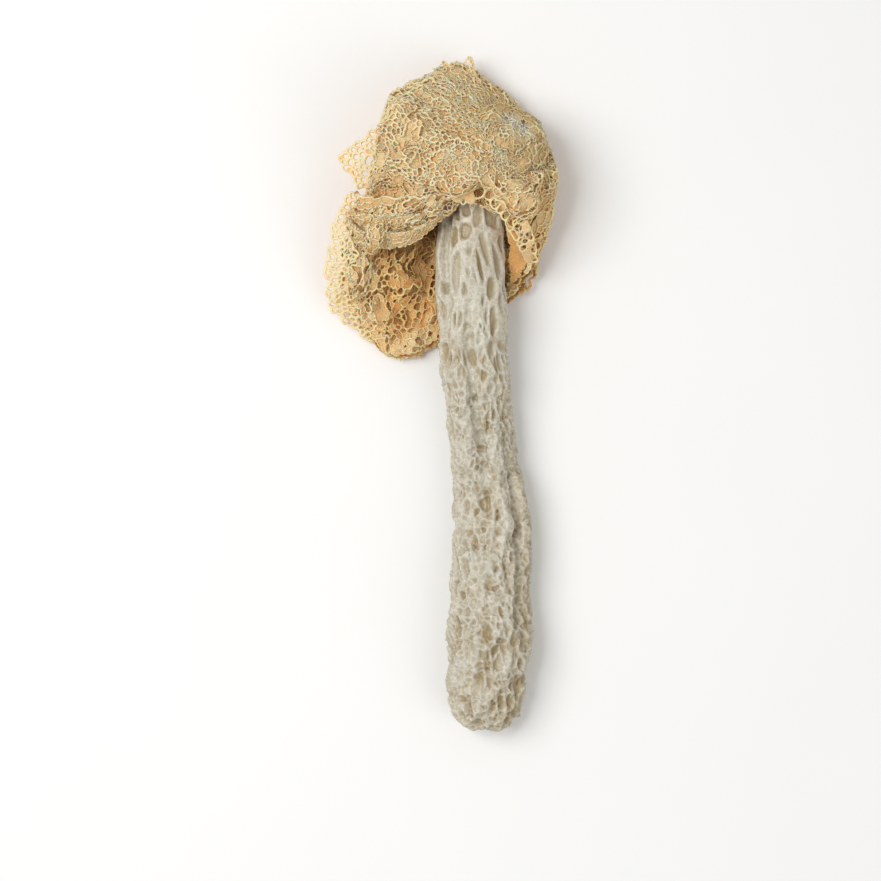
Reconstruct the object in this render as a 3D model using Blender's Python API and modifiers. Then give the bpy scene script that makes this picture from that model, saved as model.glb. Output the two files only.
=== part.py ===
"""A dried bamboo fungus lying on its back: a pitted stem, a small cap and a lace skirt.

Run it with: blender --background --python part.py
The scene is in metres. X runs across the stem, Y along it towards the cap, and Z up.
The origin is the middle of the flat spot on which the stem rests.
Shapes are worked out in millimetres and turned into metres as their corners are made.
"""

import math
import random

import bmesh
import bpy
from mathutils import Vector, geometry, noise

MM = 0.001
FEWEST_AT_END = 5

# Stem: middle from foot to tip (x, y, z), then half its width and half its height
STEM_STATIONS = (
    (-1.2, -17.5, 6.5, 9.4, 7.1),
    (0.0, -2.0, 7.3, 10.8, 8.0),
    (0.4, 14.0, 7.1, 10.1, 7.6),
    (0.5, 30.0, 6.8, 9.6, 7.1),
    (-1.4, 46.0, 6.5, 8.2, 6.7),
    (-3.3, 61.0, 7.9, 8.4, 6.6),
    (-4.4, 80.0, 10.3, 9.3, 7.0),
    (-5.1, 98.0, 11.6, 9.3, 7.0),
    (-3.8, 111.0, 12.4, 8.4, 6.7),
    (1.2, 120.5, 13.2, 6.0, 5.7),
    (6.2, 128.1, 17.2, 4.4, 4.4),
)
STEM_AROUND = 52.0
STEM_LENGTH = 158.0
FOOT_SHARE = 0.085
FOOT_DEPTH = 8.0
PUCKER_SIZE = 0.16
PUCKER_DEPTH = 2.2
# Creases: where round the stem (turns from +X), from and to (share of its length), depth
STEM_CREASES = (
    (0.27, 0.30, 0.64, 0.17),
    (0.12, 0.10, 0.42, 0.11),
    (0.40, 0.55, 0.95, 0.10),
    (0.62, 0.15, 0.60, 0.12),
    (0.88, 0.40, 0.85, 0.13),
)
CREASE_WIDTH = 0.035
# Pits: how far apart they lie, how much longer than wide at the tip, how deep they sink
PIT_SPACING = 2.4
PIT_STRETCH = 2.4
DEEP_SHARE = 0.75
DEEP_SHORTEST = 0.65
DEEP_BEND = math.radians(26)
DEEP_RIM = 0.40
DEEP_DEPTH = (0.7, 1.25)
SHALLOW_DEPTH = (0.3, 0.8)

# Cap: a thick bell on the stem's tip, leaning towards +Z
CAP_RIM_CENTRE = Vector((5.0, 126.0, 15.6))
CAP_AXIS = Vector((0.42, 0.72, 0.55)).normalized()
# Profile from the pore's floor, out over the disc, down the flank and up inside:
# distance from the axis, height above the rim
CAP_PROFILE = (
    (0.8, 5.3),
    (1.6, 6.7),
    (3.9, 7.6),
    (6.0, 6.4),
    (7.1, 3.4),
    (7.5, 0.5),
    (7.0, -0.2),
    (6.4, 1.2),
    (5.8, 3.8),
    (3.2, 4.3),
)
CAP_SPACING = 1.9
CAP_PIT = 0.45

# Lace skirt: how far apart its openings lie, how wide its strands are and how they are eased
LACE_SPACING = 3.2
LACE_STRAND = 23.0
SHORTEST_STRAND = 1.0
LACE_EASING = 4
HELD_BY_CAP = 14.0
LACE_THICKNESS = 0.9
# Circles round the cap's axis: height above its rim, radius, and slant down to the right
COLLAR = (
    (-4.2, 7.1, 0.0),
    (-0.4, 9.0, 0.8),
    (2.6, 9.9, 2.2),
)
COLLAR_TURNS = (0.01, 0.13, 0.26, 0.37, 0.45, 0.53, 0.60, 0.67, 0.75, 0.87)
# The rows go on from the collar to the hem. Each runs round the skirt from the right (+X)
# over the front (+Z) to the left and back under the stem.
LACE_CAGE = (
    (
        (16.6, 122.5, 14.5), (12.5, 117.0, 23.5), (-1.5, 117.0, 28.0), (-14.0, 127.0, 28.5),
        (-23.5, 134.0, 24.0), (-23.5, 141.5, 15.5), (-17.0, 148.0, 9.0), (-8.5, 149.0, 5.0),
        (0.5, 142.5, 4.0), (12.0, 131.5, 6.0),
    ),
    (
        (16.4, 111.0, 12.0), (11.0, 110.5, 22.0), (-3.5, 113.5, 27.0), (-18.0, 117.0, 27.5),
        (-31.0, 120.0, 23.5), (-35.0, 113.5, 13.0), (-33.5, 98.0, 5.5), (-23.5, 90.0, 2.0),
        (-9.0, 95.0, 1.4), (9.0, 103.0, 2.2),
    ),
    (
        (12.5, 97.0, 8.0), (7.0, 104.5, 18.5), (-4.0, 110.0, 22.5), (-18.0, 107.0, 21.5),
        (-32.5, 102.0, 17.5), (-42.5, 97.0, 10.0), (-38.0, 81.0, 3.2), (-24.0, 72.5, 1.2),
        (-9.0, 79.0, 1.2), (7.5, 89.0, 1.4),
    ),
)
LOOSE_FROM = 0.5
PLEATS = 9
PLEAT_HEIGHT = 1.1
CRUMPLE_SIZE = 11.0
CRUMPLE_HEIGHT = 1.3
CRUMPLE_SEED = 1795623794
# Where the skirt bulges or draws in: middle, reach, and how far it is moved
LACE_FLAPS = (
    (Vector((-34.0, 122.0, 19.0)), 6.0, Vector((-5.5, 1.0, 0.0))),
    (Vector((-35.0, 113.5, 17.0)), 4.0, Vector((2.0, 0.0, 0.0))),
)
LOWEST_LACE = 0.46

# Colours: red, green, blue, roughness
STEM_COLOUR = (0.80, 0.75, 0.62, 0.75)
CAP_COLOUR = (0.78, 0.68, 0.47, 0.70)
LACE_COLOUR = (0.80, 0.62, 0.34, 0.70)


def clear_scene():
    """Removes every object that the startup file holds."""
    for leftover in list(bpy.data.objects):
        bpy.data.objects.remove(leftover)


def matte(name, colour):
    """A plain matte material of that colour and roughness."""
    material = bpy.data.materials.new(name)
    material.use_nodes = True
    shader = material.node_tree.nodes["Principled BSDF"]
    shader.inputs["Base Color"].default_value = (*colour[:3], 1.0)
    shader.inputs["Roughness"].default_value = colour[3]
    shader.inputs["Metallic"].default_value = 0.0
    return material


def eased(before, start, end, after, share):
    """A smooth curve through start and end that heads for their neighbours (Catmull-Rom)."""
    bend = 2 * before - 5 * start + 4 * end - after
    turn = 3 * start - before - 3 * end + after
    return start + 0.5 * share * ((end - before) + share * (bend + share * turn))


def on_line(points, share):
    """The point at that share, 0 to 1, of an open smooth line through the points."""
    last = len(points) - 1
    place = min(max(share, 0.0), 1.0) * last
    i = min(int(place), last - 1)
    before = points[i - 1] if i > 0 else 2 * points[0] - points[1]
    after = points[i + 2] if i + 2 <= last else 2 * points[last] - points[last - 1]
    return eased(before, points[i], points[i + 1], after, place - i)


def on_loop(points, turn):
    """The point at that turn, 0 to 1, of a closed smooth line through the points."""
    count = len(points)
    place = (turn % 1.0) * count
    i = int(place) % count
    around = [points[(i + k) % count] for k in (-1, 0, 1, 2)]
    return eased(*around, place - int(place))


def spread_out(gauge, turns, steps, spacing, seed):
    """Picks (u, v) places on a tube so that none lies nearer to another than the spacing.

    gauge(u, v) gives the position by which distance is measured. The two open ends are
    picked first. Returns the places and how many of them lie on the ends.
    """
    draw = random.Random(seed)
    inner = [
        ((j + draw.random()) / turns, (i + draw.random()) / steps)
        for i in range(1, steps - 1)
        for j in range(turns)
    ]
    draw.shuffle(inner)
    picked = []
    boxes = {}

    def keep(place, at):
        box = tuple(math.floor(c / spacing) for c in at)
        picked.append(place)
        boxes.setdefault(box, []).append(at)

    for end in (0.0, 1.0):
        ring = [gauge(j / turns, end) for j in range(turns)]
        around = sum((ring[j] - ring[j - 1]).length for j in range(turns))
        count = max(FEWEST_AT_END, round(around / spacing))
        for k in range(count):
            keep((k / count, end), gauge(k / count, end))
    on_ends = len(picked)
    for place in inner:
        at = gauge(*place)
        x, y, z = (math.floor(c / spacing) for c in at)
        near = [
            other
            for i in (x - 1, x, x + 1)
            for j in (y - 1, y, y + 1)
            for k in (z - 1, z, z + 1)
            for other in boxes.get((i, j, k), [])
        ]
        if all((other - at).length >= spacing for other in near):
            keep(place, at)
    return picked, on_ends


def joined_up(places, wide, long):
    """Triangles between the places, as they lie on the tube unrolled to wide by long(v).

    Places near the seam are joined up from both sides of it. Each triangle is given as the
    numbers of its three places and the (u, v) of its middle.
    """
    flat = []
    owner = []
    for i, (u, v) in enumerate(places):
        for turned in (u - 1, u, u + 1):
            if -0.4 < turned < 1.4:
                flat.append(Vector((turned * wide, long(v))))
                owner.append(i)
    found = geometry.delaunay_2d_cdt(flat, [], [], 0, 1e-6)
    corners, faces, origins = found[0], found[2], found[3]
    triangles = []
    for face in faces:
        u = sum(corners[k].x for k in face) / (3 * wide)
        if 0.0 <= u < 1.0:
            members = [owner[origins[k][0]] for k in face]
            triangles.append((members, u, sum(places[i][1] for i in members) / 3))
    return triangles


def cell_tube(place, gauge, wide, long, spacing, seed):
    """An open tube of cells that mostly have five to seven sides.

    place(u, v) gives a point in millimetres, u round the tube and v along it. A cell lies
    round each picked place, with its corners in the middles of the triangles there.
    Returns the mesh, its cells, those of the two ends, and the two end rings.
    """
    turns, steps = int(4 * wide / spacing), int(4 * long(1.0) / spacing)
    places, on_ends = spread_out(gauge, turns, steps, spacing, seed)
    mesh = bmesh.new()
    around = [[] for _ in places]
    for triangle, u, v in joined_up(places, wide, long):
        corner = mesh.verts.new(place(u, v) * MM)
        for i in triangle:
            away = (u - places[i][0] + 0.5) % 1.0 - 0.5
            rise = long(v) - long(places[i][1])
            around[i].append((math.atan2(rise, away * wide), corner))
    rings = []
    for end, side in ((0.0, -1), (1.0, 1)):
        members = sorted((u, i) for i, (u, v) in enumerate(places) if v == end)
        ring = []
        for k, (u, i) in enumerate(members):
            after_u, after = members[(k + 1) % len(members)]
            gap = (after_u - u) % 1.0
            corner = mesh.verts.new(place((u + gap / 2) % 1.0, end) * MM)
            ring.append(corner)
            around[i].append((0.001 * side, corner))
            around[after].append((side * (math.pi - 0.001), corner))
        rings.append(ring)
    cells = []
    for corners in around:
        loop = [corner for _, corner in sorted(corners, key=lambda item: item[0])]
        cells.append(mesh.faces.new(loop))
    mesh.normal_update()
    return mesh, cells[on_ends:], cells[:on_ends], rings


def close_ends(mesh, rings):
    """Closes both ends of a tube of cells and turns every face outwards."""
    mesh.faces.new(rings[0])
    mesh.faces.new(rings[1])
    mesh.normal_update()
    bmesh.ops.recalc_face_normals(mesh, faces=mesh.faces)
    mesh.normal_update()


def stem_frame(share):
    """Middle, half width, half height and the cross directions at a share of the stem."""
    middles = [Vector(station[:3]) for station in STEM_STATIONS]
    sizes = [Vector((station[3], station[4], 0.0)) for station in STEM_STATIONS]
    step = 0.01
    heading = on_line(middles, min(share + step, 1.0)) - on_line(middles, max(share - step, 0.0))
    heading.normalize()
    across = (Vector((1, 0, 0)) - heading * heading.x).normalized()
    upward = across.cross(heading)
    size = on_line(sizes, share)
    return on_line(middles, share), size.x, size.y, across, upward, heading


def crease(turn, share):
    """How far the stem's wall falls in at that place, as a share of its radius."""
    fall = 0.0
    for at, start, end, depth in STEM_CREASES:
        away = (turn - at + 0.5) % 1.0 - 0.5
        inside = min(max((share - start) / (end - start), 0.0), 1.0)
        fall += depth * math.exp(-((away / CREASE_WIDTH) ** 2)) * math.sin(math.pi * inside)
    return fall


def stem_point(u, v):
    """A point of the stem. The foot is a rounded end, drawn in to a pucker at its middle."""
    round_the_foot = min(v / FOOT_SHARE, 1.0) * math.pi / 2
    share = max(v - FOOT_SHARE, 0.0) / (1 - FOOT_SHARE)
    middle, wide, high, across, upward, heading = stem_frame(share)
    swell = PUCKER_SIZE + (1 - PUCKER_SIZE) * math.sin(round_the_foot)
    swell *= 1 - crease(u, share)
    back = FOOT_DEPTH * math.cos(round_the_foot)
    back -= PUCKER_DEPTH * math.exp(-((round_the_foot / 0.3) ** 2))
    angle = 2 * math.pi * u
    point = middle - heading * back
    point += across * (wide * swell * math.cos(angle)) + upward * (high * swell * math.sin(angle))
    point.z = max(point.z, 0.0)
    return point


def stem_length(v):
    """The length from the foot, drawn in towards the tip so that the pits are longer there."""
    return STEM_LENGTH * (v - (1 - 1 / PIT_STRETCH) * v * v / 2)


def stem_gauge(u, v):
    """The stem's point, drawn in along Y as its length is."""
    point = stem_point(u, v)
    point.y += stem_length(v) - STEM_LENGTH * v
    return point


def takes_a_deep_pit(cell):
    """Whether a cell has room for a rim, and lies on a part of the wall that is near flat."""
    if min(edge.calc_length() for edge in cell.edges) < DEEP_SHORTEST * MM:
        return False
    beside = [face.normal for edge in cell.edges for face in edge.link_faces]
    return all(cell.normal.angle(normal) < DEEP_BEND for normal in beside)


def sink_pits(mesh, cells, draw):
    """Sinks each cell: some get a rim, steep sides and a floor, and the rest a low point."""
    deep = {cell for cell in cells if takes_a_deep_pit(cell) and draw.random() < DEEP_SHARE}
    for cell in cells:
        if cell in deep:
            depth = draw.uniform(*DEEP_DEPTH)
            bmesh.ops.inset_individual(
                mesh, faces=[cell], thickness=DEEP_RIM * MM, depth=-depth * MM, use_even_offset=True
            )
        else:
            depth = draw.uniform(*SHALLOW_DEPTH)
            bmesh.ops.poke(mesh, faces=[cell], offset=-depth * MM, center_mode="MEAN")


def finish_object(name, mesh, material, collection):
    """Makes the named object from its mesh and puts it in the collection."""
    data = bpy.data.meshes.new(name)
    mesh.to_mesh(data)
    mesh.free()
    data.materials.append(material)
    made = bpy.data.objects.new(name, data)
    collection.objects.link(made)
    return made


def build_stem(collection):
    """The pitted stem. Its cells stay flat where the wall rests on the table."""
    mesh, cells, end_cells, rings = cell_tube(
        stem_point, stem_gauge, STEM_AROUND, stem_length, PIT_SPACING, seed=11
    )
    close_ends(mesh, rings)
    pits = [cell for cell in cells if any(corner.co.z > 0.0 for corner in cell.verts)]
    sink_pits(mesh, pits, random.Random(12))
    return finish_object("stem", mesh, matte("stem", STEM_COLOUR), collection)


def about_the_cap(turn, radius, height):
    """A point at that turn round the cap's axis, that far from it and above the cap's rim."""
    across = (Vector((1, 0, 0)) - CAP_AXIS * CAP_AXIS.x).normalized()
    upward = across.cross(CAP_AXIS)
    angle = 2 * math.pi * turn
    outward = across * math.cos(angle) + upward * math.sin(angle)
    return CAP_RIM_CENTRE + outward * radius + CAP_AXIS * height


def cap_point(u, v):
    """A point of the cap, turned round its axis from the profile."""
    spot = on_line([Vector((out, up, 0.0)) for out, up in CAP_PROFILE], v)
    return about_the_cap(u, spot.x, spot.y)


def build_cap(collection):
    """The cap, with pits on its disc and flank."""
    mesh, cells, end_cells, rings = cell_tube(
        cap_point, cap_point, 34.0, lambda v: 28.0 * v, CAP_SPACING, seed=21
    )
    close_ends(mesh, rings)
    outside = []
    for cell in cells:
        middle = cell.calc_center_median() / MM - CAP_RIM_CENTRE
        height = middle.dot(CAP_AXIS)
        reach = (middle - CAP_AXIS * height).length
        if height > 1.0 and reach + 0.8 * height > 7.2:
            outside.append(cell)
    bmesh.ops.poke(mesh, faces=outside, offset=-CAP_PIT * MM, center_mode="MEAN")
    return finish_object("cap", mesh, matte("cap", CAP_COLOUR), collection)


def smooth_skirt(u, v):
    """A point of the skirt before it is pleated and crumpled."""
    rows = []
    for height, radius, slant in COLLAR:
        heights = [height - slant * math.cos(2 * math.pi * turn) for turn in COLLAR_TURNS]
        rows.append([about_the_cap(*at) for at in zip(COLLAR_TURNS, [radius] * 10, heights)])
    rows += [[Vector(point) for point in row] for row in LACE_CAGE]
    return on_line([on_loop(row, u) for row in rows], v)


def lace_point(u, v):
    """A point of the skirt: the smooth form, pleated and crumpled more towards the hem."""
    here = smooth_skirt(u, v)
    step = 0.01
    along = smooth_skirt(u, min(v + step, 1.0)) - smooth_skirt(u, max(v - step, 0.0))
    round_it = smooth_skirt(u + step, v) - smooth_skirt(u - step, v)
    outward = round_it.cross(along).normalized()
    loose = min(max(v - LOOSE_FROM, 0.0) / 0.3, 1.0)
    pleat = PLEAT_HEIGHT * math.sin(2 * math.pi * (PLEATS * u + 0.35 * math.sin(4 * math.pi * u)))
    ruffle = noise.noise_vector(here / CRUMPLE_SIZE) * CRUMPLE_HEIGHT
    point = here + (outward * pleat + ruffle) * loose
    for middle, reach, push in LACE_FLAPS:
        point += push * math.exp(-(((here - middle).length / reach) ** 2))
    point.z = max(point.z, LOWEST_LACE)
    return point


def build_lace(collection):
    """The lace skirt: strands where the cells meet, and an opening in each cell."""
    mesh, cells, end_cells, rings = cell_tube(
        lace_point, lace_point, 130.0, lambda v: 75.0 * v, LACE_SPACING, seed=33
    )
    short = [edge for edge in mesh.edges if edge.calc_length() < SHORTEST_STRAND * MM]
    bmesh.ops.collapse(mesh, edges=short, uvs=False)
    hanging = [
        corner
        for corner in mesh.verts
        if (corner.co / MM - CAP_RIM_CENTRE).length > HELD_BY_CAP and not corner.is_boundary
    ]
    for _ in range(LACE_EASING):
        bmesh.ops.smooth_vert(
            mesh, verts=hanging, factor=0.5, use_axis_x=True, use_axis_y=True, use_axis_z=True
        )
    loose = {cell for cell in end_cells if cell.is_valid}
    strands = [
        edge
        for edge in mesh.edges
        if len(edge.link_faces) == 2 and not loose.issuperset(edge.link_faces)
    ]
    for face in mesh.faces:
        face.material_index = 1
    bmesh.ops.bevel(
        mesh,
        geom=strands,
        offset=LACE_STRAND,
        offset_type="PERCENT",
        segments=1,
        profile=0.5,
        affect="EDGES",
        material=0,
    )
    openings = [face for face in mesh.faces if face.material_index == 1]
    bmesh.ops.delete(mesh, geom=openings, context="FACES")
    lace = finish_object("net_skirt", mesh, matte("net_skirt", LACE_COLOUR), collection)
    thicken = lace.modifiers.new("thicken", "SOLIDIFY")
    thicken.thickness = LACE_THICKNESS * MM
    thicken.offset = 0.0
    return lace


def main():
    """Builds the fungus in one collection."""
    noise.seed_set(CRUMPLE_SEED)
    clear_scene()
    collection = bpy.data.collections.new("bamboo_fungus")
    bpy.context.scene.collection.children.link(collection)
    build_stem(collection)
    build_cap(collection)
    build_lace(collection)


main()
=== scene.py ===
"""The dried bamboo fungus as it looks: sponge stem, felted cap and crumpled lace skirt.

Sizes are in millimetres, and become the row frame's metres as each mesh is made. X runs across
the stem, Y along it towards the cap, and Z up from the table on which the fungus lies.
"""

import logging
import math
import random
from collections.abc import Iterator
from dataclasses import dataclass
from enum import Enum

import bmesh
import bpy
import numpy as np
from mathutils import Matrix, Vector, kdtree, noise


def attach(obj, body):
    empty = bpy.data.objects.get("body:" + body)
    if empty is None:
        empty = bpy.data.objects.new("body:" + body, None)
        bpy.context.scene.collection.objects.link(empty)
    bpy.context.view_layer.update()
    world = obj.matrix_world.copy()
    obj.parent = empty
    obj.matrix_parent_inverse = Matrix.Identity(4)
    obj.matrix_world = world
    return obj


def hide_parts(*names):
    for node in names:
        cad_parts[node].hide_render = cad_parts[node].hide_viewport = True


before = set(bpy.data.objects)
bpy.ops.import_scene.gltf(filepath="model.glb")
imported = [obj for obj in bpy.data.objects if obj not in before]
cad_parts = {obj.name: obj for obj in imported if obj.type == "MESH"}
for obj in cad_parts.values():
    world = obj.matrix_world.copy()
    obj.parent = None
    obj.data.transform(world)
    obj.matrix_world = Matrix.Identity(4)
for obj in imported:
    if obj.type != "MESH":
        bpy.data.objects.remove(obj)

MM = 0.001
TINY = 1e-9
TURN = 2.0 * math.pi
X_AXIS = np.array([1.0, 0.0, 0.0])
BODY = "root"
CLOUD_SEED = 7
# Spreading openings: the fewest on an edge and across a sheet, and how many spots are tried
FEWEST_ON_EDGE = 5
FEWEST_ACROSS = 8
TRIES = 4
# Finding each point's opening: what a turn of the surface counts, and the steps taken
BEND = 1.2
SPREAD_STEPS = (8, 4, 2, 1, 1, 1)
# Strands: the chance in their thickness, and in how far each corner stands out
THICKNESS_CHANCE = (0.7, 1.5)
CORNER_CHANCE = (-0.5, 1.0)
# Long thick strands: how much painted shade they lose, the least that they run on ahead, and how
# much of the old heading and of the new side makes the next heading
VEIN_SHADE_CUT = 0.2
VEIN_AHEAD = 0.25
VEIN_HEADING = (0.55, 0.45)
# How far a corner moves to the middle of those beside it each time the cells are eased
EASE = 0.5

Colour = tuple[float, float, float]
Point = tuple[float, float, float]
Span = tuple[float, float]
Socket = bpy.types.NodeSocket

log = logging.getLogger("bamboo_fungus")


def smooth_step(low: float, high: float, value: np.ndarray) -> np.ndarray:
    """A soft step from 0 at low to 1 at high."""
    share = np.clip((np.asarray(value, float) - low) / (high - low), 0.0, 1.0)
    return share * share * (3.0 - 2.0 * share)


def eased(around: list[np.ndarray], share: np.ndarray) -> np.ndarray:
    """A smooth curve through the two middle points of four (Catmull-Rom).

    Args:
        around: The point before, the start, the end and the point after.
        share: How far along from the start to the end, 0 to 1.

    Returns:
        The points on the curve.
    """
    before, start, end, after = around
    bend = 2 * before - 5 * start + 4 * end - after
    turn = 3 * start - before - 3 * end + after
    return start + 0.5 * share * ((end - before) + share * (bend + share * turn))


def along_line(points: np.ndarray, share: np.ndarray) -> np.ndarray:
    """Points along an open smooth line.

    Args:
        points: The line's own points, the first axis running along it.
        share: How far along each wanted point lies, 0 to 1.

    Returns:
        One point, or one row of points, for each share.
    """
    last = len(points) - 1
    padded = np.concatenate([2 * points[:1] - points[1:2], points, 2 * points[-1:] - points[-2:-1]])
    place = np.clip(share, 0.0, 1.0) * last
    i = np.minimum(place.astype(int), last - 1)
    rest = (place - i).reshape((-1,) + (1,) * (points.ndim - 1))
    return eased([padded[i + k] for k in range(4)], rest)


def round_loop(points: np.ndarray, turn: np.ndarray) -> np.ndarray:
    """Points on a closed smooth line.

    Args:
        points: The line's own points.
        turn: How far round each wanted point lies; 1 is a full turn.

    Returns:
        A point for each turn.
    """
    place = (turn % 1.0) * len(points)
    i = place.astype(int)
    around = [points[(i + k) % len(points)] for k in (-1, 0, 1, 2)]
    return eased(around, (place - i)[:, None])


def unit(vectors: np.ndarray) -> np.ndarray:
    """The vectors, each made one long."""
    return vectors / np.maximum(np.linalg.norm(vectors, axis=-1, keepdims=True), TINY)


def outward_of(grid: np.ndarray, wraps: bool) -> np.ndarray:
    """The outward direction at each point of a grid of points.

    Args:
        grid: Points by row (along the form) and column (round it).
        wraps: Whether the last column is next to the first.

    Returns:
        A direction for each point.
    """
    along = np.gradient(grid, axis=0)
    if wraps:
        across = np.roll(grid, -1, axis=1) - np.roll(grid, 1, axis=1)
    else:
        across = np.gradient(grid, axis=1)
    return unit(np.cross(across, along))


def cloud(points: np.ndarray, size: float, shift: float) -> np.ndarray:
    """Smooth random vectors, about 1 long at most, that change over the given size.

    Args:
        points: Where the vectors are wanted, in millimetres.
        size: The distance over which they change, in millimetres.
        shift: Moves the pattern, so that two of one size differ.

    Returns:
        A vector for each point.
    """
    flat = (points / size + shift).reshape(-1, 3)
    return np.array([noise.noise_vector(spot) for spot in flat.tolist()]).reshape(points.shape)


def share_grid(rows: int, columns: int) -> tuple[np.ndarray, np.ndarray]:
    """The shares round and along a grid whose columns wrap.

    Args:
        rows: Points along the form.
        columns: Points round it.

    Returns:
        The share round (u) and the share along (v) of every point.
    """
    along, turns = np.linspace(0.0, 1.0, rows), np.linspace(0.0, 1.0, columns, endpoint=False)
    v, u = np.meshgrid(along, turns, indexing="ij")
    return u.ravel(), v.ravel()


def near_spots(points: np.ndarray, spots: tuple[tuple[float, ...], ...]) -> Iterator[np.ndarray]:
    """What each spot adds at each point, less and less away from its middle.

    Args:
        points: A grid of points.
        spots: The middle, reach and amount of each.

    Yields:
        One spot's amounts.
    """
    for x, y, z, reach, amount in spots:
        gap = np.linalg.norm(points - np.array([x, y, z]), axis=2) / reach
        yield amount * np.exp(-(gap**2))


@dataclass
class Sheet:
    """A form given as a grid of points, each with its depth, its boldness and its room.

    Depth runs from 0 outside to 1 and sets the finishes' painted shade, boldness from 0 to 1, and
    room is 1 where openings have their usual size.
    """

    grid: np.ndarray
    wraps: bool

    def __post_init__(self) -> None:
        """Measures the sheet round its rows and down its columns."""
        points = self.grid[..., :3]
        self.around = float(np.linalg.norm(np.diff(points, axis=1), axis=2).sum(axis=1).mean())
        self.down = float(np.linalg.norm(np.diff(points, axis=0), axis=2).sum(axis=0).mean())

    def at(self, places: np.ndarray) -> np.ndarray:
        """The sheet's numbers at (u, v) places.

        Args:
            places: Shares round the sheet and down it, 0 to 1.

        Returns:
            As many numbers for each place as the grid has.
        """
        rows, columns = self.grid.shape[:2]
        y = np.clip(places[:, 1], 0.0, 1.0) * (rows - 1)
        i = np.minimum(y.astype(int), rows - 2)
        if self.wraps:
            x = (places[:, 0] % 1.0) * columns
            start = x.astype(int)
            j, beside = start % columns, (start + 1) % columns
        else:
            x = np.clip(places[:, 0], 0.0, 1.0) * (columns - 1)
            start = j = np.minimum(x.astype(int), columns - 2)
            beside = j + 1
        down, across = (y - i)[:, None], (x - start)[:, None]
        upper = self.grid[i, j] * (1 - across) + self.grid[i, beside] * across
        lower = self.grid[i + 1, j] * (1 - across) + self.grid[i + 1, beside] * across
        return upper * (1 - down) + lower * down


@dataclass(frozen=True)
class Weave:
    """How lace is woven: how far apart its openings lie, and how thick its strands are."""

    spacing: float
    strand: float
    seed: int
    variety: float = 0.35
    patch: float = 9.0
    coarser: float = 0.0
    torn: float = 0.08
    easing: int = 2
    filmed: float = 0.0
    film_sag: float = 0.1
    film_sunk: float = 0.35
    thinnest: float = 0.6
    veins: int = 0
    vein_steps: int = 14
    uneven: float = 0.0
    rounded: bool = False

    def room(self, spots: np.ndarray) -> np.ndarray:
        """The distance that an opening's middle keeps from the next, at each spot."""
        change = self.variety * cloud(spots[:, :3], self.patch, float(self.seed))[:, 0]
        return self.spacing * (1.0 + change) * spots[:, 5]


class Scatter:
    """Spots taken one at a time, so that none lies too near to another."""

    def __init__(self, reach: float) -> None:
        """Starts with no spot taken.

        Args:
            reach: The furthest that any spot keeps from the next.
        """
        self.reach = reach
        self.boxes: dict[tuple[int, int, int], list[tuple[float, float, float]]] = {}

    def home(self, spot: list[float]) -> tuple[int, int, int]:
        """The box in which a spot lies."""
        return tuple(math.floor(part / self.reach) for part in spot)

    def take(self, spot: list[float]) -> None:
        """Takes a spot."""
        self.boxes.setdefault(self.home(spot), []).append(tuple(spot))

    def clear(self, spot: list[float], apart: float) -> bool:
        """Whether no spot taken so far lies nearer than that.

        Args:
            spot: Where to look.
            apart: The distance kept.

        Returns:
            Whether the spot is clear.
        """
        x, y, z = spot
        a, b, c = self.home(spot)
        limit = apart * apart
        for i in (a - 1, a, a + 1):
            for j in (b - 1, b, b + 1):
                for k in (c - 1, c, c + 1):
                    for p, q, r in self.boxes.get((i, j, k), ()):
                        if (p - x) ** 2 + (q - y) ** 2 + (r - z) ** 2 < limit:
                            return False
        return True


def edge_places(sheet: Sheet, spacing: float) -> list[tuple[float, float]]:
    """Evenly spaced (u, v) places along the sheet's open edges.

    Args:
        sheet: The form.
        spacing: How far apart they lie.

    Returns:
        The places.
    """
    places = []
    closing = 1 if sheet.wraps else 0
    for end, row in ((0.0, sheet.grid[0, :, :3]), (1.0, sheet.grid[-1, :, :3])):
        length = np.linalg.norm(np.diff(row, axis=0), axis=1).sum()
        count = max(FEWEST_ON_EDGE, round(length / spacing))
        places += [(k / count, end) for k in range(count + 1 - closing)]
    if not sheet.wraps:
        for end, column in ((0.0, sheet.grid[:, 0, :3]), (1.0, sheet.grid[:, -1, :3])):
            length = np.linalg.norm(np.diff(column, axis=0), axis=1).sum()
            count = max(FEWEST_ON_EDGE, round(length / spacing))
            places += [(end, k / count) for k in range(1, count)]
    return places


def spread_places(sheet: Sheet, weave: Weave) -> np.ndarray:
    """Picks (u, v) places on a sheet so that none lies too near to another.

    Args:
        sheet: The form.
        weave: Says how far apart the places are, and the seed.

    Returns:
        The places picked, those along the open edges first.
    """
    draw = random.Random(weave.seed)
    columns = max(FEWEST_ACROSS, int(TRIES * sheet.around / weave.spacing))
    rows = max(FEWEST_ACROSS, int(TRIES * sheet.down / weave.spacing))
    tries = [
        ((j + draw.random()) / columns, (i + draw.random()) / rows)
        for i in range(1, rows - 1)
        for j in range(0 if sheet.wraps else 1, columns if sheet.wraps else columns - 1)
    ]
    draw.shuffle(tries)
    edges = edge_places(sheet, weave.spacing)
    places = np.array(tries)
    spots = sheet.at(places)
    room = weave.room(spots)
    scatter = Scatter(float(room.max()))
    for spot in sheet.at(np.array(edges))[:, :3].tolist():
        scatter.take(spot)
    picked = []
    for n, (spot, apart) in enumerate(zip(spots[:, :3].tolist(), room.tolist())):
        if scatter.clear(spot, apart):
            scatter.take(spot)
            picked.append(n)
    return np.concatenate([np.array(edges), places[picked]])


def with_measures(grid: np.ndarray, depth: np.ndarray | float) -> np.ndarray:
    """The points with their depth, no boldness and the usual room."""
    plain = np.zeros(grid.shape[:2])
    return np.concatenate([grid, np.stack([plain + depth, plain, plain + 1.0], axis=2)], axis=2)


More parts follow.
